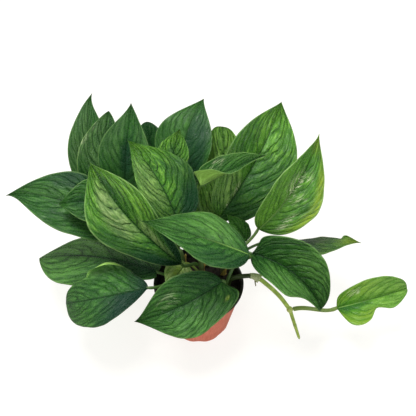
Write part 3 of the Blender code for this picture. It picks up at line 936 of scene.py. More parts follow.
@dataclass(frozen=True)
class Stem:
    """A short stem that stands in the soil: its foot, top and radius in mm."""

    foot: Place
    top: Place
    radius: float = 4.0
    sheath_turn: float = 0.0

    BEND = 81.0
    TAPER = 0.3
    STEPS = 44
    SIDES = 18
    GIRTH = 0.95
    RING = 0.10
    RING_WIDTH = 1.1
    RING_START = 78.0
    RING_PITCH = 9.5
    DOME = 3.0
    RIBS = 0.03
    SHEATHS = (76.0, 84.0)
    SHEATH_SWING = 2.4
    SHEATH_LENGTH = 15.0
    SHEATH_WRAP = 1.5
    SHEATH_POINT = 1.2
    SHEATH_FLARE = 2.4
    SHEATH_FRAY = 0.3
    SHEATH_THICKNESS = 0.35
    SHEATH_CELLS = 9

    def at(self, height: float) -> tuple[np.ndarray, float]:
        """Find the stem's middle at a height.

        Args:
            height: Height above the floor, in mm.

        Returns:
            The place and the radius there, in mm.
        """
        share = max(0.0, (height - self.BEND) / (self.top[2] - self.BEND))
        foot, top = np.array(self.foot[:2]), np.array(self.top[:2])
        level = foot + (top - foot) * share
        return np.array((*level, height)), self.radius * (1.0 - self.TAPER * share)

    def build(self, name: str, finishes: Finishes) -> bpy.types.Object:
        """Build the stem with its rings, leaf scars and two dry sheaths.

        Args:
            name: The solid it stands for.
            finishes: Where its materials come from.

        Returns:
            The finished piece.
        """
        heights = np.linspace(self.foot[2], self.top[2], self.STEPS)
        route = np.array([self.at(height)[0] for height in heights])
        radii = np.array([self.at(height)[1] for height in heights])
        ringed = (heights - self.RING_START) % self.RING_PITCH
        girth = self.GIRTH + self.RING * hump(ringed, self.RING_PITCH / 2, self.RING_WIDTH)
        dome = np.sqrt(np.clip((self.top[2] - heights) / self.DOME, 0.02, 1.0))
        shell = Shell()
        points, faces, surface = tube_patch(
            route, radii * girth * dome, self.SIDES,
            lambda angle, share: 1.0 + self.RIBS * math.sin(3 * angle + 9 * share))
        shell.add(points, faces, 0, surface)
        for number, height in enumerate(self.SHEATHS):
            self.add_sheath(shell, height, self.sheath_turn + self.SHEATH_SWING * number)
        materials = [finishes.plain(BARK), finishes.plain(DRY_SHEATH)]
        return settle(shell.build(name + "_fine", materials), name)

    def add_sheath(self, shell: Shell, height: float, turn: float) -> None:
        """Add a dry, papery sheath: a thin curled strip that hugs the stem and frays outward.

        Args:
            shell: The stem's mesh.
            height: Height of the sheath's foot, in mm.
            turn: Direction it faces, in radians.
        """
        inner, outer = [], []
        for share in np.linspace(0.0, 1.0, self.SHEATH_CELLS):
            middle, radius = self.at(min(height + self.SHEATH_LENGTH * share, self.top[2]))
            for across in np.linspace(-1.0, 1.0, self.SHEATH_CELLS):
                angle = turn + across * (self.SHEATH_WRAP - self.SHEATH_POINT * share ** 1.4)
                flare = radius * 1.02 + 0.25 + self.SHEATH_FLARE * share ** 3
                flare += self.SHEATH_FRAY * math.sin(5 * across + 3 * share)
                way = np.array((math.cos(angle), math.sin(angle), 0.0))
                inner.append(middle + way * flare)
                outer.append(middle + way * (flare + self.SHEATH_THICKNESS))
        front, back = sheet_faces(self.SHEATH_CELLS, self.SHEATH_CELLS)
        shell.add(np.array(inner + outer), [face[::-1] for face in front + back], 1, gold=0.75)


STEMS = {
    "front_left": Stem((-24, 4, 42), (-27, 3, 98), sheath_turn=-1.2),
    "back_left": Stem((-20, 30, 42), (-25, 36, 112), sheath_turn=-2.0),
    "middle": Stem((4, 20, 42), (2, 24, 112), sheath_turn=-1.5),
    "back": Stem((6, 37, 42), (7, 43, 110), sheath_turn=-0.5),
    "right": Stem((33, 22, 42), (37, 27, 108), sheath_turn=-0.9),
    "front_right": Stem((30, -8, 42), (31, -10, 92), sheath_turn=-2.2),
}


@dataclass(frozen=True)
class Curl:
    """A rolled margin: its side (-1 left, 1 right), span along the leaf, share of the half and angle."""

    side: int
    start: float
    end: float
    share: float
    angle: float


@dataclass(frozen=True)
class Patch:
    """A patch: its tone, span from base (0) to tip (1), span from edge to edge (-1 to 1) and share.

    Its edges are soft, but a bound of 0 is sharp, because the patch ends at the base or at the rib.
    """

    tone: Tone
    along: Span
    across: Span
    share: float

    SOFT = 0.35
    SHARP = 0.04

    def cover(self, q: np.ndarray, u: np.ndarray) -> np.ndarray:
        """Work out how much of the patch's tone each place takes.

        Args:
            q: Share of the way from base to tip.
            u: Share of the way from the rib to an edge, negative on the left.

        Returns:
            The share of the tone at each place.
        """
        cover = self.share
        for place, (low, high) in ((q, self.along), (u, self.across)):
            for bound, past in ((low, place - low), (high, high - place)):
                edge = np.clip(past / (self.SOFT * (high - low) if bound else self.SHARP), 0.0, 1.0)
                cover = cover * edge * edge * (3.0 - 2.0 * edge)
        return cover


@dataclass(frozen=True)
class Leaf:
    """A leaf: where its blade starts and ends (mm), its form (mm and degrees), its stem and looks.

    rise is the height at which the stalk leaves the stem. roll turns the blade about its rib,
    fold lifts its halves, arch and sweep bow the rib up and sideways, twist turns the tip.
    lobe says how far the base reaches back, and lobe_skew makes the right lobe longer than the left.
    peak sets the widest place, point how drawn out the tip is, and notch cuts into the right edge at
    notch_at. cup folds the right half up near the base, hook bends the last of the tip sideways, and
    wave is the height of the edge's waves. turn swings the stalk's start round the stem and lean
    sets how level it leaves. relief is how far the blade puffs up between its veins. margin says how
    strong the painted highlight along the edge is, rib_pale and stalk_pale how pale those places are,
    dusk how much painted shade the whole takes, deep how much more painted shade its base takes, and
    etch how strongly the veins show.
    """

    name: str
    stem: str
    rise: float
    base: Place
    tip: Place
    width: float
    roll: float = 0.0
    fold: float = 14.0
    arch: float = 6.0
    sweep: float = 0.0
    twist: float = 0.0
    lobe: float = 0.07
    lobe_skew: float = 0.0
    peak: float = 0.76
    point: float = 1.2
    notch: float = 0.0
    notch_at: float = 0.6
    cup: float = 0.0
    hook: float = 0.0
    wave: float = 1.2
    stalk: float = 2.0
    turn: float = 0.0
    lean: float = 0.35
    age: LeafAge = LeafAge.MATURE
    veins: int = 8
    relief: float = 0.6
    margin: float = 0.25
    dusk: float = 0.0
    deep: float = 0.3
    etch: float = 0.35
    rib_pale: float = 0.0
    stalk_pale: float = 0.0
    curls: tuple[Curl, ...] = ()
    patches: tuple[Patch, ...] = ()

    THICKNESS = 0.8
    EDGE_THINNING = 0.45
    ROWS = 84
    COLUMNS = 41
    EDGE_PACKING = 0.92
    RIB_LEAD = 0.10
    LOBE_REACH = 0.3
    EDGE_BEND = 1.3
    BLUNT = 0.8
    NOTCH_REACH = 0.15
    WAVES = 15.0
    RIPPLES = 41.0
    RIPPLE = 0.35
    CUP_REACH = 0.5
    HOOK_START = 0.84
    CURL_STRETCH = 3.0
    DEEP_REACH = 0.4
    PUFF_LEVEL = 0.6
    PUFF_MARGIN = 0.12
    GROOVE = 0.6
    GROOVE_WIDTH = 1.6
    KEEL = 0.9
    KEEL_WIDTH = 1.3
    KEEL_REACH = 0.34
    KEEL_STEPS = 8
    STALK_SIDES = 14
    STALK_STEPS = 30
    STALK_LEAD = 0.38
    STALK_TAIL = 0.32
    STALK_FOOT = 1.25
    STALK_TAPER = 0.35
    JOINT = 0.14
    JOINT_AT = 0.93
    JOINT_WIDTH = 0.05
    CHANNEL = 0.12
    CHANNEL_FADE = 2.2

    def directions(self) -> tuple[np.ndarray, float, np.ndarray, np.ndarray, np.ndarray]:
        """Work out how the blade lies.

        Returns:
            Its base and length in mm, and the unit directions along, across and up from it.
        """
        base, tip = np.array(self.base, float), np.array(self.tip, float)
        length = float(np.linalg.norm(tip - base))
        along = (tip - base) / length
        level = np.array((0.0, 0.0, 1.0)) - along[2] * along
        level /= np.linalg.norm(level)
        side = np.cross(along, level)
        roll = math.radians(self.roll)
        up = level * math.cos(roll) + side * math.sin(roll)
        across = side * math.cos(roll) - level * math.sin(roll)
        return base, length, along, across, up

    def quilt(self, q: np.ndarray, u: np.ndarray) -> np.ndarray:
        """Work out how far the blade puffs up between its veins.

        Args:
            q: Share of the way from base to tip.
            u: Share of the way from the rib to an edge, negative on the left.

        Returns:
            0 at a vein and 1 midway between two.
        """
        reach = np.abs(u)
        run = q - VEIN_SWEEP * reach * (VEIN_START + VEIN_BOW * reach)
        phase = run * self.veins + np.where(u < 0.0, VEIN_STAGGER, 0.0)
        phase = phase + VEIN_UNEVEN * np.sin(VEIN_BEAT * phase + self.seed())
        off = np.abs(np.mod(phase, 1.0) - 0.5) * 2.0
        return np.sin(off * math.pi / 2) * np.clip(reach / 0.2, 0.0, 1.0)

    def surface(self, q: np.ndarray, u: np.ndarray, lift: float = 0.0) -> np.ndarray:
        """Place points on the blade's middle surface.

        Args:
            q: Share of the way from base to tip.
            u: Share of the way from the rib to an edge, negative on the left.
            lift: Height above the surface, in mm.

        Returns:
            The points in mm, one for each pair.
        """
        base, length, along, across, up = self.directions()
        arc = np.sin(math.pi * q)
        exponent = self.BLUNT + (self.point - self.BLUNT) * q
        wide = np.clip(np.sin(math.pi * q ** self.peak), 0.0, None) ** exponent
        wide = wide * (1.0 - self.notch * np.maximum(u, 0.0) * hump(q, self.notch_at, self.NOTCH_REACH))
        rib = q - self.RIB_LEAD * arc
        lobe = self.lobe * (1.0 + self.lobe_skew * u)
        edge = q - lobe * np.sin(math.pi * np.minimum(q / self.LOBE_REACH, 1.0))
        way = rib + (edge - rib) * np.abs(u) ** self.EDGE_BEND
        side = wide * u * self.width / 2
        rise = np.abs(side) * math.tan(math.radians(self.fold))
        rise = rise + self.wave * np.sin(self.WAVES * q + 2.0 * u) * np.abs(u) ** 3 * arc
        rise = rise + self.RIPPLE * np.sin(self.RIPPLES * q + 5.0 * u) * np.abs(u) ** 6 * arc
        for curl in self.curls:
            side, rise = self.roll_margin(curl, q, u, side, rise, wide * self.width / 2)
        cup = math.radians(self.cup) * np.clip(1.0 - q / self.CUP_REACH, 0.0, None) * (u > 0.0)
        side, rise = side * np.cos(cup) - rise * np.sin(cup), side * np.sin(cup) + rise * np.cos(cup)
        side = side + self.hook * np.clip((q - self.HOOK_START) / (1.0 - self.HOOK_START), 0.0, None) ** 2
        turn = math.radians(self.twist) * (way - 0.5)
        bow = 4.0 * way * (1.0 - way)
        x = side * np.cos(turn) - rise * np.sin(turn) + self.sweep * bow
        z = rise * np.cos(turn) - side * np.sin(turn) + self.arch * bow + lift
        return base + along * (way * length)[..., None] + across * x[..., None] + up * z[..., None]

    def roll_margin(self, curl: Curl, q: np.ndarray, u: np.ndarray, side: np.ndarray, rise: np.ndarray,
                    half: np.ndarray) -> tuple[np.ndarray, np.ndarray]:
        """Roll one margin of the blade up and over.

        Args:
            curl: Where and how far it rolls.
            q: Share of the way from base to tip.
            u: Share of the way from the rib to an edge.
            side: Distance from the rib, in mm.
            rise: Height above the flat blade, in mm.
            half: Half the blade's width there, in mm.

        Returns:
            The new distances and heights.
        """
        middle, reach = (curl.start + curl.end) / 2, (curl.end - curl.start) / 2
        window = np.clip(1.0 - np.abs(q - middle) / reach, 0.0, 1.0)
        window = np.sqrt(np.sin(window * math.pi / 2))
        flat = 1.0 - curl.share * window / self.CURL_STRETCH
        past = np.clip(u * curl.side - flat, 0.0, None) * half * self.CURL_STRETCH
        total = np.maximum(curl.share * window * half, 1e-6)
        bend = math.radians(curl.angle) * window
        radius = total / np.maximum(bend, 1e-6)
        angle = past / radius
        slope = math.radians(self.fold)
        out = radius * (np.sin(angle + slope) - math.sin(slope))
        lifted = radius * (math.cos(slope) - np.cos(angle + slope))
        rolled = past > 0.0
        start = flat * half
        new_side = np.where(rolled, (start + out) * curl.side, side)
        new_rise = np.where(rolled, start * math.tan(slope) + lifted, rise)
        return new_side, new_rise

    def build(self, finishes: Finishes) -> bpy.types.Object:
        """Build the blade and its stalk as one piece.

        Args:
            finishes: Where its materials come from.

        Returns:
            The finished piece.
        """
        shell = Shell()
        self.add_blade(shell)
        self.add_stalk(shell)
        materials = [finishes.leaf(self.age, self.veins), finishes.leaf_under(self.age, self.veins),
                     finishes.plain(STALK)]
        return settle(shell.build(self.name + "_fine", materials), self.name)

    def add_blade(self, shell: Shell) -> None:
        """Add the blade: an upper and a lower sheet, quilted between the veins, joined at the rim.

        Args:
            shell: The leaf's mesh.
        """
        rows, columns = self.ROWS, self.COLUMNS
        along = 0.5 + 0.5 * np.sin(np.linspace(-0.5, 0.5, rows) * math.pi)
        across = np.linspace(-1.0, 1.0, columns)
        across = np.sign(across) * np.abs(across) ** self.EDGE_PACKING
        q, u = np.meshgrid(along, across, indexing="ij")
        points = self.surface(q, u)
        ahead, aside = np.gradient(points, axis=0), np.gradient(points, axis=1)
        ahead[0], ahead[-1] = ahead[1], ahead[-2]
        normal = np.cross(aside, ahead)
        size = np.linalg.norm(normal, axis=2, keepdims=True)
        normal = np.where(size > 1e-9, normal / np.maximum(size, 1e-9), 0.0)
        normal[0], normal[-1] = normal[2, columns // 2], normal[-3, columns // 2]
        fade = np.sin(math.pi * q) ** 0.6
        inner = np.clip((1.0 - np.abs(u)) / self.PUFF_MARGIN, 0.0, 1.0)
        puff = self.relief * (self.quilt(q, u) - self.PUFF_LEVEL) * fade * inner
        half = np.abs(u) * self.width / 2
        groove = self.GROOVE * hump(half, 0.0, self.GROOVE_WIDTH) * (1.0 - 0.6 * q) * fade
        keel = self.KEEL * hump(half, 0.0, self.KEEL_WIDTH) * (1.0 - 0.8 * q) * fade
        body = self.THICKNESS / 2 * (1.0 - self.EDGE_THINNING * np.abs(u) ** 4)
        upper = points + normal * (puff - groove + body)[..., None]
        lower = points + normal * (puff - groove - body - keel)[..., None]
        surface = np.stack((0.5 + 0.5 * u, q), axis=2).reshape(-1, 2)
        front, back = sheet_faces(rows, columns)
        shell.add(np.vstack((upper.reshape(-1, 3), lower.reshape(-1, 3))), front + back, 0,
                  np.vstack((surface, surface)), margin=self.margin, etch=self.etch, seed=self.seed(),
                  rib=np.tile((self.rib_pale * np.clip(1.0 - 1.6 * q, 0.0, 1.0)).ravel(), 2),
                  **self.tones(q, u))
        shell.slots[-len(back):] = [1] * len(back)

    def seed(self) -> float:
        """Return the seed of the leaf's vein pattern, worked out from its name."""
        return float(sum(map(ord, self.name)) % 97)

    def tones(self, q: np.ndarray, u: np.ndarray) -> dict[str, np.ndarray]:
        """Work out how much of each tone every place of the blade takes, on both of its sides.

        Args:
            q: Share of the way from base to tip.
            u: Share of the way from the rib to an edge, negative on the left.

        Returns:
            The values that the mesh carries, by name.
        """
        tones = {tone: np.zeros_like(q) for tone in Tone}
        # Painted shade: over the whole blade, and more towards the base, deep in the plant.
        tones[Tone.DUSK] = self.dusk + self.deep * np.clip(1.0 - q / self.DEEP_REACH, 0.0, 1.0)
        for patch in self.patches:
            tones[patch.tone] = tones[patch.tone] + patch.cover(q, u)
        return {tone.value: np.tile(np.clip(value, 0.0, 1.0).ravel(), 2) for tone, value in tones.items()}

    def stalk_start(self) -> tuple[np.ndarray, np.ndarray]:
        """Work out where the stalk starts.

        Returns:
            Where it leaves the stem, in mm, and the level direction it leaves in.
        """
        place, radius = STEMS[self.stem].at(self.rise)
        out = np.array((self.base[0] - place[0], self.base[1] - place[1], 0.0))
        out = swung(out / np.linalg.norm(out), self.turn)
        return place + out * (radius + 0.3 + self.stalk * 1.1), out

    def add_stalk(self, shell: Shell) -> None:
        """Add the stalk: channelled at its foot, swollen at its joint, running on under the rib.

        Args:
            shell: The leaf's mesh.
        """
        start, out = self.stalk_start()
        along, rising = self.directions()[2], np.array((0.0, 0.0, 1.0))
        end = self.surface(np.array(0.0), np.array(0.0), -self.stalk * 0.55)
        reach = float(np.linalg.norm(end - start))
        lead = out * self.lean + rising
        tail = along * 0.8 + rising * 0.35
        first = start + lead / np.linalg.norm(lead) * reach * self.STALK_LEAD
        last = end - tail / np.linalg.norm(tail) * reach * self.STALK_TAIL
        t = np.linspace(0.0, 1.0, self.STALK_STEPS)[:, None]
        route = ((1 - t) ** 3 * start + 3 * t * (1 - t) ** 2 * first
                 + 3 * t * t * (1 - t) * last + t ** 3 * end)
        share = np.linspace(0.0, 1.0, self.KEEL_STEPS + 1)[1:]
        slim = self.stalk * (self.STALK_FOOT - self.STALK_TAPER - 0.5 * share)
        keel = [self.surface(np.array(self.KEEL_REACH * part), np.array(0.0), -radius - 0.9 * part ** 0.5)
                for part, radius in zip(share, slim)]
        radii = self.stalk * (self.STALK_FOOT - self.STALK_TAPER * t[:, 0])
        radii = radii * (1.0 + self.JOINT * hump(t[:, 0], self.JOINT_AT, self.JOINT_WIDTH))
        points, faces, surface = tube_patch(
            np.vstack((route, np.array(keel))), np.concatenate((radii, slim)), self.STALK_SIDES,
            lambda angle, way: 1.0 - (self.CHANNEL * max(0.0, 1.0 - self.CHANNEL_FADE * way)
                                      * (0.5 + 0.5 * math.cos(angle)) ** 3))
        shell.add(points, faces, 2, surface, pale=self.stalk_pale)


# Short names for the rows below, which follow the solids of the same names.
FRESH, YOUNG = LeafAge.FRESH, LeafAge.YOUNG
PALE, SHEEN, GOLD, WAX, DUSK = Tone

# In the rows below, the patches of a painted reflection, of painted glints and of painted shade are painted
# light and shade; on some leaves the pale patches are painted light too.
LEAVES = (
    Leaf("leaf_far_left", "front_left", 91, (-115, 67, 118), (-262, 102, 151), 85,
         roll=-22, fold=15, arch=14, sweep=10, hook=-4, dusk=0.15, deep=0.2, etch=0.5,
         patches=(Patch(PALE, (0.3, 1.1), (-0.4, 0.9), 0.2), Patch(DUSK, (0.1, 0.8), (0.3, 1.2), 0.5))),
    Leaf("leaf_left_small", "back_left", 98, (-104, 82, 138), (-183, 66, 168), 61,
         roll=-28, arch=5, sweep=6, peak=1.05, stalk=1.6, turn=15, veins=7, margin=0.4,
         patches=(Patch(DUSK, (0.3, 1.0), (-0.6, 0.6), 0.4),)),
    # Painted light: the pale patches lighten both halves towards the tip, most of all the right half, which
    # faces away from the lamps; painted shade darkens its base and middle.
    Leaf("leaf_lower_left", "front_left", 83.5, (-55, 6, 102), (-229, 60, 59), 100,
         roll=6, fold=-8, arch=11, sweep=5, twist=-2, lobe=0.12, peak=1.33, point=0.85,
         deep=0.4, etch=0.7,
         patches=(Patch(PALE, (0.35, 1.4), (-1.6, 0.0), 0.5), Patch(PALE, (0.2, 1.4), (0.0, 1.8), 0.6),
                  Patch(DUSK, (-0.3, 0.7), (-1.0, 0.6), 0.5))),
    Leaf("leaf_bottom_left", "front_left", 79, (-64, -27, 113), (-176, -22, 68), 76,
         roll=-8, fold=-6, arch=19, sweep=-12, twist=-44, lobe=0, peak=0.81, point=0.33, notch=-0.31,
         notch_at=0.39,
         margin=0.1, etch=0.5,
         curls=(Curl(1, 0.18, 0.68, 0.5, 185),),
         patches=(Patch(DUSK, (-0.5, 0.7), (-1.6, 0.0), 0.95), Patch(DUSK, (-0.5, 0.35), (0.0, 1.6), 0.7),
                  Patch(PALE, (0.15, 0.85), (0.74, 1.6), 1.0))),
    Leaf("leaf_front_left", "middle", 98, (-22, 5, 119), (-141, 105, 205), 82,
         roll=-43, fold=31, arch=15, sweep=-6, twist=19, lobe=0.05, peak=1.13, point=1.13, turn=-10,
         age=FRESH, veins=9, relief=0.9, margin=0.6, deep=0.9, etch=1,
         patches=(Patch(SHEEN, (0.34, 0.97), (-0.66, 0.0), 0.8),
                  Patch(SHEEN, (0.04, 0.6), (0.0, 0.42), 0.75), Patch(PALE, (0.3, 0.9), (-1.1, -0.3), 0.12),
                  Patch(DUSK, (-0.3, 0.85), (-1.5, -0.1), 0.6), Patch(DUSK, (0.5, 1.1), (0.0, 0.6), 0.5),
                  Patch(PALE, (0.35, 1.0), (0.3, 1.3), 0.35), Patch(DUSK, (-0.2, 0.45), (0.3, 1.4), 0.9))),
    Leaf("leaf_centre_left", "middle", 109, (-27, 50, 151), (-93, 132, 220), 80,
         roll=5, fold=26, arch=11, sweep=2, twist=5, lobe=0.12, turn=20,
         age=FRESH, veins=9, relief=0.9, margin=0.1, deep=0.9, etch=0.95,
         patches=(Patch(SHEEN, (0.1, 0.9), (-1.15, 0.0), 0.45), Patch(DUSK, (-0.2, 0.85), (0.1, 1.6), 0.65),
                  Patch(PALE, (0.7, 1.2), (-1.4, 1.4), 0.15), Patch(PALE, (0.1, 0.9), (0.4, 1.4), 0.2))),
    Leaf("leaf_back_left", "back_left", 110, (-100, 107, 148), (-87, 176, 247), 72,
         arch=7, sweep=-3, hook=-3, turn=-25, veins=7, dusk=0.2,
         patches=(Patch(DUSK, (0.2, 0.75), (-0.3, 0.4), 0.6), Patch(SHEEN, (0.3, 1.1), (-1.4, -0.1), 0.2),
                  Patch(SHEEN, (0.3, 0.9), (0.4, 1.2), 0.15))),
    Leaf("leaf_outer_back_left", "back_left", 82, (-145, 125, 116), (-156, 222, 228), 60,
         roll=-3, fold=13, arch=9, sweep=-4, peak=0.79, hook=6, margin=0.3, dusk=0.2,
         patches=(Patch(SHEEN, (0.1, 1.1), (-1.4, 0.6), 0.35),)),
    Leaf("leaf_inner_back_left", "back_left", 90, (-139, 116, 134), (-125, 195, 218), 66,
         fold=16, arch=7, twist=3, point=0.8, turn=8,
         relief=0.9, margin=0.5, dusk=0.2, etch=0.7,
         patches=(Patch(SHEEN, (0.2, 1.1), (-1.5, 0.6), 0.3), Patch(WAX, (0.4, 0.95), (-1.3, -0.7), 0.6))),
    Leaf("leaf_front_centre", "right", 100, (65, 6, 138), (-71, 9, 201), 86,
         roll=4, fold=3, arch=7, sweep=-2, twist=10, lobe=0, peak=0.72, point=1.5,
         veins=7, relief=0.7, etch=0.6, rib_pale=1,
         patches=(Patch(PALE, (0.05, 0.65), (0.0, 1.2), 0.7), Patch(PALE, (0.45, 1.0), (-0.6, 1.0), 0.2),
                  Patch(DUSK, (0.0, 0.7), (-1.6, -0.05), 0.4))),
    Leaf("leaf_bottom_centre", "front_right", 88, (31, -16, 111), (-82, -57, 80), 82,
         roll=-44, fold=22, arch=9, sweep=-5, twist=3, lobe=0.13, lobe_skew=-0.85, peak=0.81, point=1.3,
         veins=9, relief=0.8, deep=0.2, etch=0.5,
         patches=(Patch(WAX, (0.5, 0.8), (0.1, 0.8), 0.5), Patch(PALE, (0.15, 0.85), (-1.6, -0.2), 0.3),
                  Patch(DUSK, (0.0, 0.55), (0.0, 1.6), 0.4), Patch(WAX, (0.14, 0.2), (-0.78, -0.62), 1.0),
                  Patch(GOLD, (0.14, 0.2), (-0.78, -0.62), 1.0))),
    # Painted light: the pale patch over the whole blade lightens a leaf that lies in the shade of the leaves
    # above, and a painted reflection lies over it too.
    Leaf("leaf_young_front", "middle", 86, (-17, 20, 101), (-42, -25, 104), 38,
         roll=-28, fold=4, arch=0, stalk=1.5, turn=25,
         age=YOUNG, veins=6, relief=0.4, deep=0, etch=0.3, stalk_pale=0.9,
         patches=(Patch(GOLD, (0.2, 0.7), (-0.2, 0.5), 0.8), Patch(PALE, (-0.5, 1.5), (-2.0, 2.0), 1.0),
                  Patch(SHEEN, (-0.5, 1.5), (-2.0, 2.0), 0.6))),
    Leaf("leaf_back_round_left", "back", 94, (-57, 141, 126), (-74, 186, 206), 58,
         roll=-8, fold=13, arch=5, point=0.5, stalk=1.6, turn=35, veins=7, dusk=0.5),
    Leaf("leaf_top", "back", 102, (-24, 126, 144), (7, 219, 221), 80,
         roll=6, fold=18, arch=13, sweep=-9, twist=3, peak=0.82, turn=12,
         margin=0.15, dusk=0.05, etch=0.3,
         patches=(Patch(DUSK, (-0.2, 1.0), (0.0, 1.0), 0.65), Patch(PALE, (0.4, 1.0), (-1.2, 0.0), 0.15))),
    Leaf("leaf_young_top", "middle", 100, (-36, 97, 185), (-25, 154, 221), 43,
         roll=4, fold=17, sweep=-2, stalk=1.4, turn=-25,
         age=FRESH, veins=7, relief=1.4, margin=0.3, etch=1,
         patches=(Patch(PALE, (0.5, 1.4), (-1.6, 1.6), 0.2), Patch(DUSK, (-0.3, 0.9), (-0.7, 0.8), 0.6))),
    Leaf("leaf_back_round_right", "back", 86, (18, 95, 98), (32, 182, 201), 67,
         roll=5, arch=8, sweep=9, point=0.35, turn=-35,
         age=FRESH, veins=9, relief=1.1, etch=1,
         patches=(Patch(SHEEN, (-0.2, 1.2), (-1.4, 1.4), 0.3), Patch(PALE, (0.3, 1.2), (-1.4, 1.4), 0.25))),
    # The first pale patch lightens the lower side of the cupped half: partly its own paler colour and partly
    # painted light, as that side lies in shade.
    Leaf("leaf_side_on", "back", 108, (3, 88, 180), (83, 63, 258), 41,
         roll=11, fold=28, arch=-7, sweep=-11, twist=-13, lobe=0.1, peak=0.55, point=1.15, cup=105,
         stalk=1.6, turn=-30,
         veins=9, relief=0.4, margin=0.6, deep=0, etch=0.5,
         patches=(Patch(PALE, (-0.4, 0.7), (-0.1, 1.4), 1.0), Patch(PALE, (0.2, 1.2), (-1.6, -0.3), 0.6),
                  Patch(WAX, (0.15, 0.4), (-1.0, -0.3), 0.9))),
    Leaf("leaf_top_right", "right", 102, (28, 79, 126), (117, 222, 213), 101,
         roll=40, fold=27, arch=21, twist=-8, peak=0.85, point=1.1, turn=25,
         age=FRESH, veins=10, relief=0.9, deep=0.35, etch=0.75,
         patches=(Patch(SHEEN, (0.02, 0.5), (-1.3, 0.0), 0.4), Patch(PALE, (0.5, 1.1), (-1.0, 1.0), 0.2),
                  Patch(DUSK, (-0.2, 0.75), (0.0, 1.4), 0.5), Patch(DUSK, (0.3, 0.8), (-1.4, -0.2), 0.4),
                  Patch(WAX, (0.05, 0.5), (-0.16, 0.0), 0.8))),
    Leaf("leaf_right", "right", 92, (80, 54, 131), (162, 152, 214), 83,
         roll=55, fold=22, arch=13, sweep=5, lobe=0.04, peak=0.72, point=1.3, turn=-10,
         age=FRESH, veins=9, relief=1.3, margin=0.8, deep=0, rib_pale=0.9, stalk_pale=0.2,
         patches=(Patch(WAX, (0.38, 0.78), (-0.6, 0.7), 1.0), Patch(WAX, (0.05, 0.4), (0.3, 0.8), 1.0),
                  Patch(GOLD, (0.02, 0.95), (0.6, 1.4), 0.9), Patch(PALE, (-0.3, 0.8), (-1.6, 0.6), 0.3),
                  Patch(GOLD, (0.8, 1.2), (-1.3, 1.3), 0.6))),
    Leaf("leaf_right_inner", "right", 98, (66, 57, 104), (38, 75, 138), 27,
         roll=-21, arch=3, stalk=1.4, turn=20, age=FRESH, veins=6, dusk=0.35),
    Leaf("leaf_right_edge_on", "right", 82, (88, 70, 83), (223, 59, 101), 75,
         roll=-34, fold=-8, arch=0, sweep=3, twist=16, peak=0.94, point=1.4, hook=8, turn=-20,
         etch=0.7,
         curls=(Curl(-1, 0.82, 1.06, 0.9, 170),),
         patches=(Patch(PALE, (0.72, 1.35), (-1.6, 1.6), 1.0), Patch(GOLD, (0.74, 1.35), (-1.6, 1.6), 1.0),
                  Patch(DUSK, (-0.5, 0.95), (-1.6, 1.6), 1.0), Patch(GOLD, (-0.3, 0.9), (-1.6, 1.6), 0.6))),
    Leaf("leaf_lower_right", "front_right", 80, (70, 25, 116), (163, -27, 62), 66,
         roll=20, fold=52, arch=17.5, sweep=-10.5, twist=14, lobe=0.08, lobe_skew=-1, peak=0.61, point=0.45,
         notch=-0.35, notch_at=0.45,
         veins=9, relief=0.8, deep=0.2, etch=0.8,
         patches=(Patch(PALE, (0.3, 0.95), (-1.3, -0.1), 0.6), Patch(PALE, (0.1, 0.95), (0.05, 1.3), 0.6))),
    Leaf("leaf_hidden_back_left", "back_left", 88, (-68, 88, 102), (-122, 164, 90), 58,
         arch=12, turn=-30, veins=7, dusk=0.3),
    Leaf("leaf_hidden_back", "back", 92, (-1, 106, 103), (-17, 190, 87), 66,
         arch=14, dusk=0.3),
    Leaf("leaf_hidden_back_right", "right", 87, (54, 98, 106), (104, 176, 92), 66,
         arch=12, turn=12, dusk=0.2),
)


@dataclass(frozen=True)
class RunnerLeaf(Leaf):
    """The leaf at the trailing stem's fork, whose stalk starts on the fork's knot."""

    fork: Place = (123, -21, 52)
    knot: float = 4.455

    def stalk_start(self) -> tuple[np.ndarray, np.ndarray]:
        """Work out where the stalk starts.

        Returns:
            Where it leaves the knot, in mm, and the level direction it leaves in.
        """
        out = np.array((1.0, 0.1, 0.0))
        out /= np.linalg.norm(out)
        return np.array(self.fork, float) + out * (self.knot + 0.3), out


RUNNER_LEAF = RunnerLeaf("leaf_runner", "runner", 57, (187, -18, 51), (289, 14, 51), 56,
                         roll=28, fold=37, arch=8, sweep=1, twist=39, peak=0.63, point=0.47, notch=0.53,
                         notch_at=0.45, stalk=2.6, lean=3,
                         age=YOUNG, veins=6, relief=0.5, deep=0, etch=0.2, rib_pale=0.9, stalk_pale=0.6,
                         patches=(Patch(GOLD, (-0.3, 0.7), (-1.4, -0.1), 0.35),
                                  Patch(GOLD, (-0.3, 0.7), (0.25, 1.5), 0.45),
                                  Patch(DUSK, (0.0, 0.6), (0.0, 0.3), 0.7),
                                  Patch(PALE, (0.2, 1.3), (-1.6, 1.6), 0.45),
                                  Patch(WAX, (0.18, 0.36), (-0.9, -0.4), 1.0)))

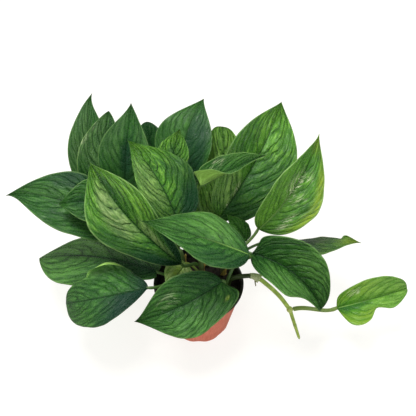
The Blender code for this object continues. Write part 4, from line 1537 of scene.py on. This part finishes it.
@dataclass(frozen=True)
class Runner:
    """The stem that trails over the rim, with two knots, an air root, a sheath and its growing tip."""

    route: tuple[Place, ...] = (
        (40, 3, 42), (40, 3, 80), (46, 3, 91), (60, 2, 97), (76, 3, 94), (93, -3, 82),
        (109, -11, 68), (123, -21, 52))
    tip: tuple[Place, ...] = (
        (123, -21, 52), (127, -26, 41), (131, -31, 30), (135, -36, 19), (139, -41, 8))
    radius: float = 3.3
    swell: float = 1.35
    rooted: int = 4
    shaded_to: float = 0.56
    rooted_pale: float = 0.25
    fork_pale: float = 0.75
    sheath_span: tuple[int, int] = (28, 35)

    def build(self, finishes: Finishes) -> bpy.types.Object:
        """Build the trailing stem, dark in the plant's shade and pale at its fork.

        Args:
            finishes: Where its materials come from.

        Returns:
            The finished piece.
        """
        shell = Shell()
        route = smooth_route(self.route)
        share = np.linspace(0.0, 1.0, len(route))
        points, faces, surface = tube_patch(route, self.radius * (1.0 - 0.15 * share), 18)
        # Painted shade: the stem is painted near-black from the pot to about its first knot, where the plant
        # shades it.
        shaded = 0.95 * np.clip((self.shaded_to - surface[:, 1]) / 0.05, 0.0, 1.0)
        shell.add(points, faces, 0, surface, dusk=shaded)
        self.add_tip(shell)
        self.add_knot(shell, self.route[self.rooted], self.rooted_pale)
        self.add_knot(shell, self.route[-1], self.fork_pale)
        self.add_root(shell)
        self.add_sheath(shell)
        materials = [finishes.plain(RUNNER_SKIN), finishes.plain(DRY_SHEATH)]
        return settle(shell.build("stem_runner_fine", materials), "stem_runner")

    def add_tip(self, shell: Shell) -> None:
        """Add the growing tip, which hangs from the fork and has a joint halfway.

        Args:
            shell: The trailing stem's mesh.
        """
        route = smooth_route(self.tip)
        share = np.linspace(0.0, 1.0, len(route))
        radii = self.radius * (0.8 - 0.22 * share) * np.sqrt(np.clip((1.0 - share) / 0.08, 0.03, 1.0))
        points, faces, surface = tube_patch(route, radii * (1.0 + 0.10 * hump(share, 0.52, 0.05)), 16)
        way = surface[:, 1]
        shell.add(points, faces, 0, surface, pale=0.5 * hump(way, 0.03, 0.05) + 0.35 * way ** 4)

    def add_knot(self, shell: Shell, place: Place, pale: float) -> None:
        """Add a swollen knot with a ring round it.

        Args:
            shell: The trailing stem's mesh.
            place: Its middle, in mm.
            pale: How pale it is, 0 to 1.
        """
        points, faces = ball_patch(4, self.radius * self.swell)
        ring = 1.0 - 0.06 * hump(points[:, 0], 0.0, 0.5)
        shell.add(points * ring[:, None] + np.array(place), faces, 0, pale=pale)

    def add_root(self, shell: Shell) -> None:
        """Add the short, brown air root that hangs from the first knot.

        Args:
            shell: The trailing stem's mesh.
        """
        start = np.array(self.route[self.rooted], float)
        route = smooth_route([start, start + (-1, -4, -4), start + (0, -7, -11)])
        share = np.linspace(0.0, 1.0, len(route))
        points, faces, surface = tube_patch(route, 1.3 - 0.6 * share, 10)
        shell.add(points, faces, 0, surface, gold=0.8)

    def add_sheath(self, shell: Shell) -> None:
        """Add the papery sheath that wraps the first knot and stands open beyond it.

        Args:
            shell: The trailing stem's mesh.
        """
        route = smooth_route(self.route)[slice(*self.sheath_span)]
        share = np.linspace(0.0, 1.0, len(route))
        points, faces, surface = tube_patch(
            route, self.radius * (1.12 + 0.70 * share ** 1.5), 20,
            lambda angle, way: 1.0 + 0.14 * way * math.sin(3 * angle) + 0.06 * way * math.sin(7 * angle))
        shell.add(points, faces, 1, surface)


@dataclass(frozen=True)
class Pot:
    """The two-colour nursery pot: red outside, black inside and over the rim. Sizes in mm."""

    height: float = 86.0
    rim_radius: float = 60.0
    mouth_radius: float = 56.5
    foot_radius: float = 42.0
    wall: float = 1.6
    floor: float = 2.0
    rim_depth: float = 7.0
    lobes: int = 8
    lobe_depth: float = 2.2
    lobe_top: float = 7.0
    inside_foot: float = 37.0
    inside_foot_top: float = 11.0
    drains: int = 6
    drain_radius: float = 4.0
    drain_ring: float = 26.0
    steps: int = 192
    collar_rows: int = 7

    # Sections as steps of radius and height: from the rim's top, the mouth's top and the foot.
    LIP_OUTSIDE = ((-0.25, -0.12), (0.0, -0.6), (-0.05, -1.4), (-0.4, -2.3))
    UNDER_LIP = ((1.9, -2.8), (1.35, -3.6), (1.2, -6.0), (0.6, -6.8))
    FOOT_EDGE = ((-0.1, 0.8), (-0.5, 0.25), (-1.2, 0.0))
    MOUTH_INSIDE = ((-0.4, -6.2), (-0.1, -2.2), (0.3, -0.9), (1.0, -0.25), (1.9, 0.0))
    WALL_HEIGHTS = (7.0, 5.0, 3.2, 1.8)
    FLOOR_RADII = (31.0, 21.0, 10.0, 0.0)

    def wall_radius(self, height: float) -> float:
        """Return the outer radius of the wall at a height, in mm."""
        flare = self.mouth_radius - self.foot_radius
        return self.foot_radius + flare * height / (self.height - self.rim_depth)

    def profile(self) -> tuple[list[Span], int, int]:
        """Return the wall's section and where its black part starts and ends.

        Returns:
            Points of radius and height in mm, from the lip's edge down the outside and up the
            inside, and the first and last index of the black inner layer.
        """
        top, collar = self.height, self.height - self.rim_depth
        points = [(self.rim_radius + out, top + up) for out, up in self.LIP_OUTSIDE]
        points += [(self.mouth_radius + out, top + up) for out, up in self.UNDER_LIP]
        points += [(self.wall_radius(collar) - 0.1, collar - 0.6)]
        points += [(self.wall_radius(height), height) for height in np.linspace(collar - 3.0, 9.0, 18)]
        points += [(self.wall_radius(height), height) for height in self.WALL_HEIGHTS]
        points += [(self.foot_radius + out, up) for out, up in self.FOOT_EDGE]
        points += [(radius, 0.0) for radius in (36.0, *self.FLOOR_RADII)]
        start = len(points)
        points += [(radius, self.floor) for radius in (*self.FLOOR_RADII[::-1], self.inside_foot)]
        points += [(self.wall_radius(height) - self.wall, height)
                   for height in (self.inside_foot_top, 30.0, 55.0, 70.0, collar - 0.5)]
        points += [(self.mouth_radius + out, top + up) for out, up in self.MOUTH_INSIDE]
        points += [(self.rim_radius - 0.8, top)]
        return points, start, len(points) - 1

    def build(self, finishes: Finishes) -> bpy.types.Object:
        """Build the pot.

        Args:
            finishes: Where its materials come from.

        Returns:
            The finished piece.
        """
        section, start, last = self.profile()
        count = len(section)
        angles = np.arange(self.steps) * math.tau / self.steps
        rings = []
        for radius, height in section:
            inset = np.zeros(self.steps)
            if height < self.lobe_top and radius > self.foot_radius - 2.0:
                fade = 1.0 - height / self.lobe_top
                inset = self.lobe_depth * fade * (0.5 + 0.5 * np.cos(self.lobes * angles)) ** 2
            reach = radius - inset
            rings.append(np.stack((reach * np.cos(angles), reach * np.sin(angles),
                                   np.full(self.steps, height)), axis=1))
        shell = Shell()
        for row in range(count):
            after = (row + 1) % count
            if section[row][0] == 0.0 and section[after][0] == 0.0:
                continue
            black = start <= row <= last or row < self.collar_rows
            pair = np.vstack((rings[row], rings[after]))
            shell.add(pair, grid_faces(2, self.steps, closed=True, flip=True), int(black))
        piece = shell.build("pot_fine", [finishes.plain(TERRACOTTA), finishes.plain(BLACK_PLASTIC)])
        self.weld(piece)
        self.drill(piece)
        return settle(piece, "pot")

    def weld(self, piece: bpy.types.Object) -> None:
        """Join the rings into one closed wall and face it outwards.

        Args:
            piece: The pot.
        """
        work = bmesh.new()
        work.from_mesh(piece.data)
        bmesh.ops.remove_doubles(work, verts=work.verts, dist=1e-6)
        bmesh.ops.recalc_face_normals(work, faces=work.faces)
        work.to_mesh(piece.data)
        work.free()

    def drill(self, piece: bpy.types.Object) -> None:
        """Cut the round drain holes through the floor.

        Args:
            piece: The pot.
        """
        drills = bmesh.new()
        radius = self.drain_radius * MM
        for number in range(self.drains):
            turn = math.tau * (number + 0.5) / self.drains
            place = Vector((self.drain_ring * math.cos(turn), self.drain_ring * math.sin(turn), 1.0)) * MM
            bmesh.ops.create_cone(drills, cap_ends=True, segments=32, radius1=radius, radius2=radius,
                                  depth=8.0 * MM, matrix=Matrix.Translation(place))
        mesh = bpy.data.meshes.new("pot_drills")
        drills.to_mesh(mesh)
        drills.free()
        cutter = bpy.data.objects.new("pot_drills", mesh)
        bpy.context.scene.collection.objects.link(cutter)
        cut = piece.modifiers.new("Drains", "BOOLEAN")
        cut.operation = "DIFFERENCE"
        cut.object = cutter
        bpy.context.view_layer.update()
        drilled = bpy.data.meshes.new_from_object(piece.evaluated_get(bpy.context.evaluated_depsgraph_get()))
        piece.modifiers.clear()
        piece.data = drilled
        bpy.data.objects.remove(cutter, do_unlink=True)
        piece.data.set_sharp_from_angle(angle=math.radians(38))


@dataclass(frozen=True)
class Soil:
    """The dark potting soil that fills the pot: a low rough mound with crumbs. Sizes in mm."""

    pot: Pot
    top: float = 73.0
    mound: float = 4.0
    gap: float = 0.3
    rings: int = 44
    steps: int = 150
    crumbs: int = 420
    crumb_seed: int = 41
    broad: float = 0.9
    clods: float = 0.8
    broad_scale: float = 0.09
    clod_scale: float = 0.22

    def height(self, x: float, y: float, edge: float) -> float:
        """Work out the height of the soil at a place, with its clods.

        Args:
            x: The place, in mm.
            y: The same.
            edge: Radius of the soil's surface, in mm.

        Returns:
            The height above the floor, in mm.
        """
        reach = math.hypot(x, y) / edge
        broad = noise.noise(Vector((x * self.broad_scale, y * self.broad_scale, 3.1)))
        clods = noise.fractal(Vector((x * self.clod_scale, y * self.clod_scale, 7.7)), 0.9, 2.1, 4)
        rough = self.broad * broad + self.clods * clods
        return self.top + self.mound * (1.0 - reach * reach) + rough * (1.0 - reach ** 8)

    def build(self, finishes: Finishes) -> bpy.types.Object:
        """Build the soil.

        Args:
            finishes: Where its material comes from.

        Returns:
            The finished piece.
        """
        edge = self.pot.wall_radius(self.top) - self.pot.wall - self.gap
        low = self.pot.wall_radius(self.pot.inside_foot_top) - self.pot.wall - self.gap
        floor = self.pot.floor + self.gap
        angles = np.arange(self.steps) * math.tau / self.steps
        points = [(0.0, 0.0, self.height(0.0, 0.0, edge))]
        for ring in range(1, self.rings + 1):
            reach = edge * ring / self.rings
            for angle in angles:
                x, y = reach * math.cos(angle), reach * math.sin(angle)
                points.append((x, y, self.height(x, y, edge)))
        for reach, level in ((low, self.pot.inside_foot_top), (self.pot.inside_foot - self.gap, floor)):
            points += [(reach * math.cos(angle), reach * math.sin(angle), level) for angle in angles]
        points.append((0.0, 0.0, floor))
        start, last = 1 + (self.rings + 1) * self.steps, len(points) - 1
        faces = [tuple(index + 1 for index in face)
                 for face in grid_faces(self.rings + 2, self.steps, closed=True, flip=True)]
        for step in range(self.steps):
            after = (step + 1) % self.steps
            faces += [(0, 1 + step, 1 + after), (last, start + after, start + step)]
        shell = Shell()
        shell.add(np.array(points), faces, 0)
        self.add_crumbs(shell, edge)
        return settle(shell.build("soil_fine", [finishes.plain(PEAT)]), "soil")

    def add_crumbs(self, shell: Shell, edge: float) -> None:
        """Scatter crumbs of soil over the mound.

        Args:
            shell: The soil's mesh.
            edge: Radius of the soil's surface, in mm.
        """
        ball, faces = ball_patch(1, 1.0)
        chance = np.random.default_rng(self.crumb_seed)
        for _ in range(self.crumbs):
            reach, angle = (edge - 2.0) * math.sqrt(chance.random()), math.tau * chance.random()
            x, y = reach * math.cos(angle), reach * math.sin(angle)
            size = 0.5 + 1.3 * chance.random() ** 2
            stretch = 0.7 + 0.6 * chance.random(3)
            lumps = ball * (0.8 + 0.4 * chance.random((len(ball), 1))) * stretch * size
            place = np.array((x, y, self.height(x, y, edge) + 0.25 * size))
            shell.add(lumps + place, faces, 0)


@dataclass(frozen=True)
class Lamp:
    """A soft panel light: its name, place, target and size in metres, power in watts and colour."""

    name: str
    place: Place
    target: Place
    size: float
    power: float
    colour: Colour = (1.0, 1.0, 1.0)


@dataclass(frozen=True)
class Studio:
    """The white floor, the soft lights and the camera at the photograph's angle. Sizes in metres."""

    camera_place: Place = (0.01249, -0.46221, 0.74692)
    camera_target: Place = (0.01249, 0.12027, 0.100)
    lens: float = 52.0
    sky: float = 0.42
    reflected_sky: float = 0.08
    floor_size: float = 6.0
    floor_cells: int = 24
    floor_bend: float = 2.5
    floor_rise: float = 0.35
    lamps: tuple[Lamp, ...] = (
        Lamp("key_panel", (-0.25, 0.25, 1.55), (0.0, 0.05, 0.1), 0.7, 19.0),
        Lamp("side_panel", (0.95, 0.25, 0.9), (0.0, 0.05, 0.12), 0.5, 3.0),
        Lamp("left_panel", (-1.05, 0.45, 0.60), (-0.10, 0.08, 0.12), 0.5, 2.0, (0.90, 0.97, 1.0)),
        Lamp("front_left_panel", (-0.60, -1.00, 1.15), (0.0, 0.05, 0.12), 0.35, 3.0),
        Lamp("front_right_panel", (0.85, -0.95, 0.65), (0.0, 0.05, 0.12), 0.35, 3.0),
    )

    def build(self, finishes: Finishes) -> None:
        """Build the floor, sky, lights and camera.

        Args:
            finishes: Where the floor's material comes from.
        """
        self.build_floor(finishes)
        self.build_sky()
        for lamp in self.lamps:
            data = bpy.data.lights.new(lamp.name, "AREA")
            data.shape, data.size, data.energy, data.color = "DISK", lamp.size, lamp.power, lamp.colour
            self.aim(bpy.data.objects.new(lamp.name, data), lamp.place, lamp.target)
        lens = bpy.data.cameras.new("photo_camera")
        lens.lens, lens.sensor_width, lens.sensor_fit = self.lens, 36.0, "HORIZONTAL"
        lens.clip_start, lens.clip_end = 0.01, 50.0
        camera = bpy.data.objects.new("photo_camera", lens)
        self.aim(camera, self.camera_place, self.camera_target)
        scene = bpy.context.scene
        scene.camera = camera
        scene.view_settings.view_transform = "Standard"

    def build_sky(self) -> None:
        """Light the scene with a soft white sky, dimmer where gloss reflects it."""
        world = bpy.data.worlds.new("soft_white")
        world.use_nodes = True
        sky = world.node_tree.nodes["Background"]
        graph = Graph(world.node_tree)
        glossy = graph.wire("ShaderNodeLightPath", "Is Glossy Ray")
        graph.feed(sky.inputs["Color"], (1.0, 1.0, 1.0))
        graph.feed(sky.inputs["Strength"], self.sky - glossy * (self.sky - self.reflected_sky))
        bpy.context.scene.world = world

    def aim(self, thing: bpy.types.Object, place: Place, target: Place) -> None:
        """Link a lamp or camera and point it from its place to its target.

        Args:
            thing: The lamp or camera.
            place: Where it stands.
            target: What it points at.
        """
        thing.location = place
        way = Vector(target) - Vector(place)
        thing.rotation_euler = way.to_track_quat("-Z", "Y").to_euler()
        bpy.context.scene.collection.objects.link(thing)

    def build_floor(self, finishes: Finishes) -> None:
        """Build the white floor, cut into squares so that it bends up softly far behind.

        Args:
            finishes: Where its material comes from.
        """
        work = bmesh.new()
        bmesh.ops.create_grid(work, x_segments=self.floor_cells, y_segments=self.floor_cells,
                              size=self.floor_size)
        for vertex in work.verts:
            vertex.co.z = self.floor_rise * max(0.0, vertex.co.y - self.floor_bend) ** 2
        mesh = bpy.data.meshes.new("studio_floor")
        work.to_mesh(mesh)
        work.free()
        mesh.materials.append(finishes.backdrop())
        mesh.shade_smooth()
        floor = bpy.data.objects.new("studio_floor", mesh)
        bpy.context.scene.collection.objects.link(floor)


def main() -> None:
    """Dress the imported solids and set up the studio."""
    logging.basicConfig(level=logging.INFO, format="%(name)s %(message)s")
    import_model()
    finishes = Finishes()
    pot = Pot()
    pot.build(finishes)
    Soil(pot).build(finishes)
    for name, stem in STEMS.items():
        stem.build("stem_" + name, finishes)
    Runner().build(finishes)
    for leaf in LEAVES + (RUNNER_LEAF,):
        leaf.build(finishes)
    Studio().build(finishes)
    bpy.context.view_layer.update()


if __name__ == "__main__":
    main()
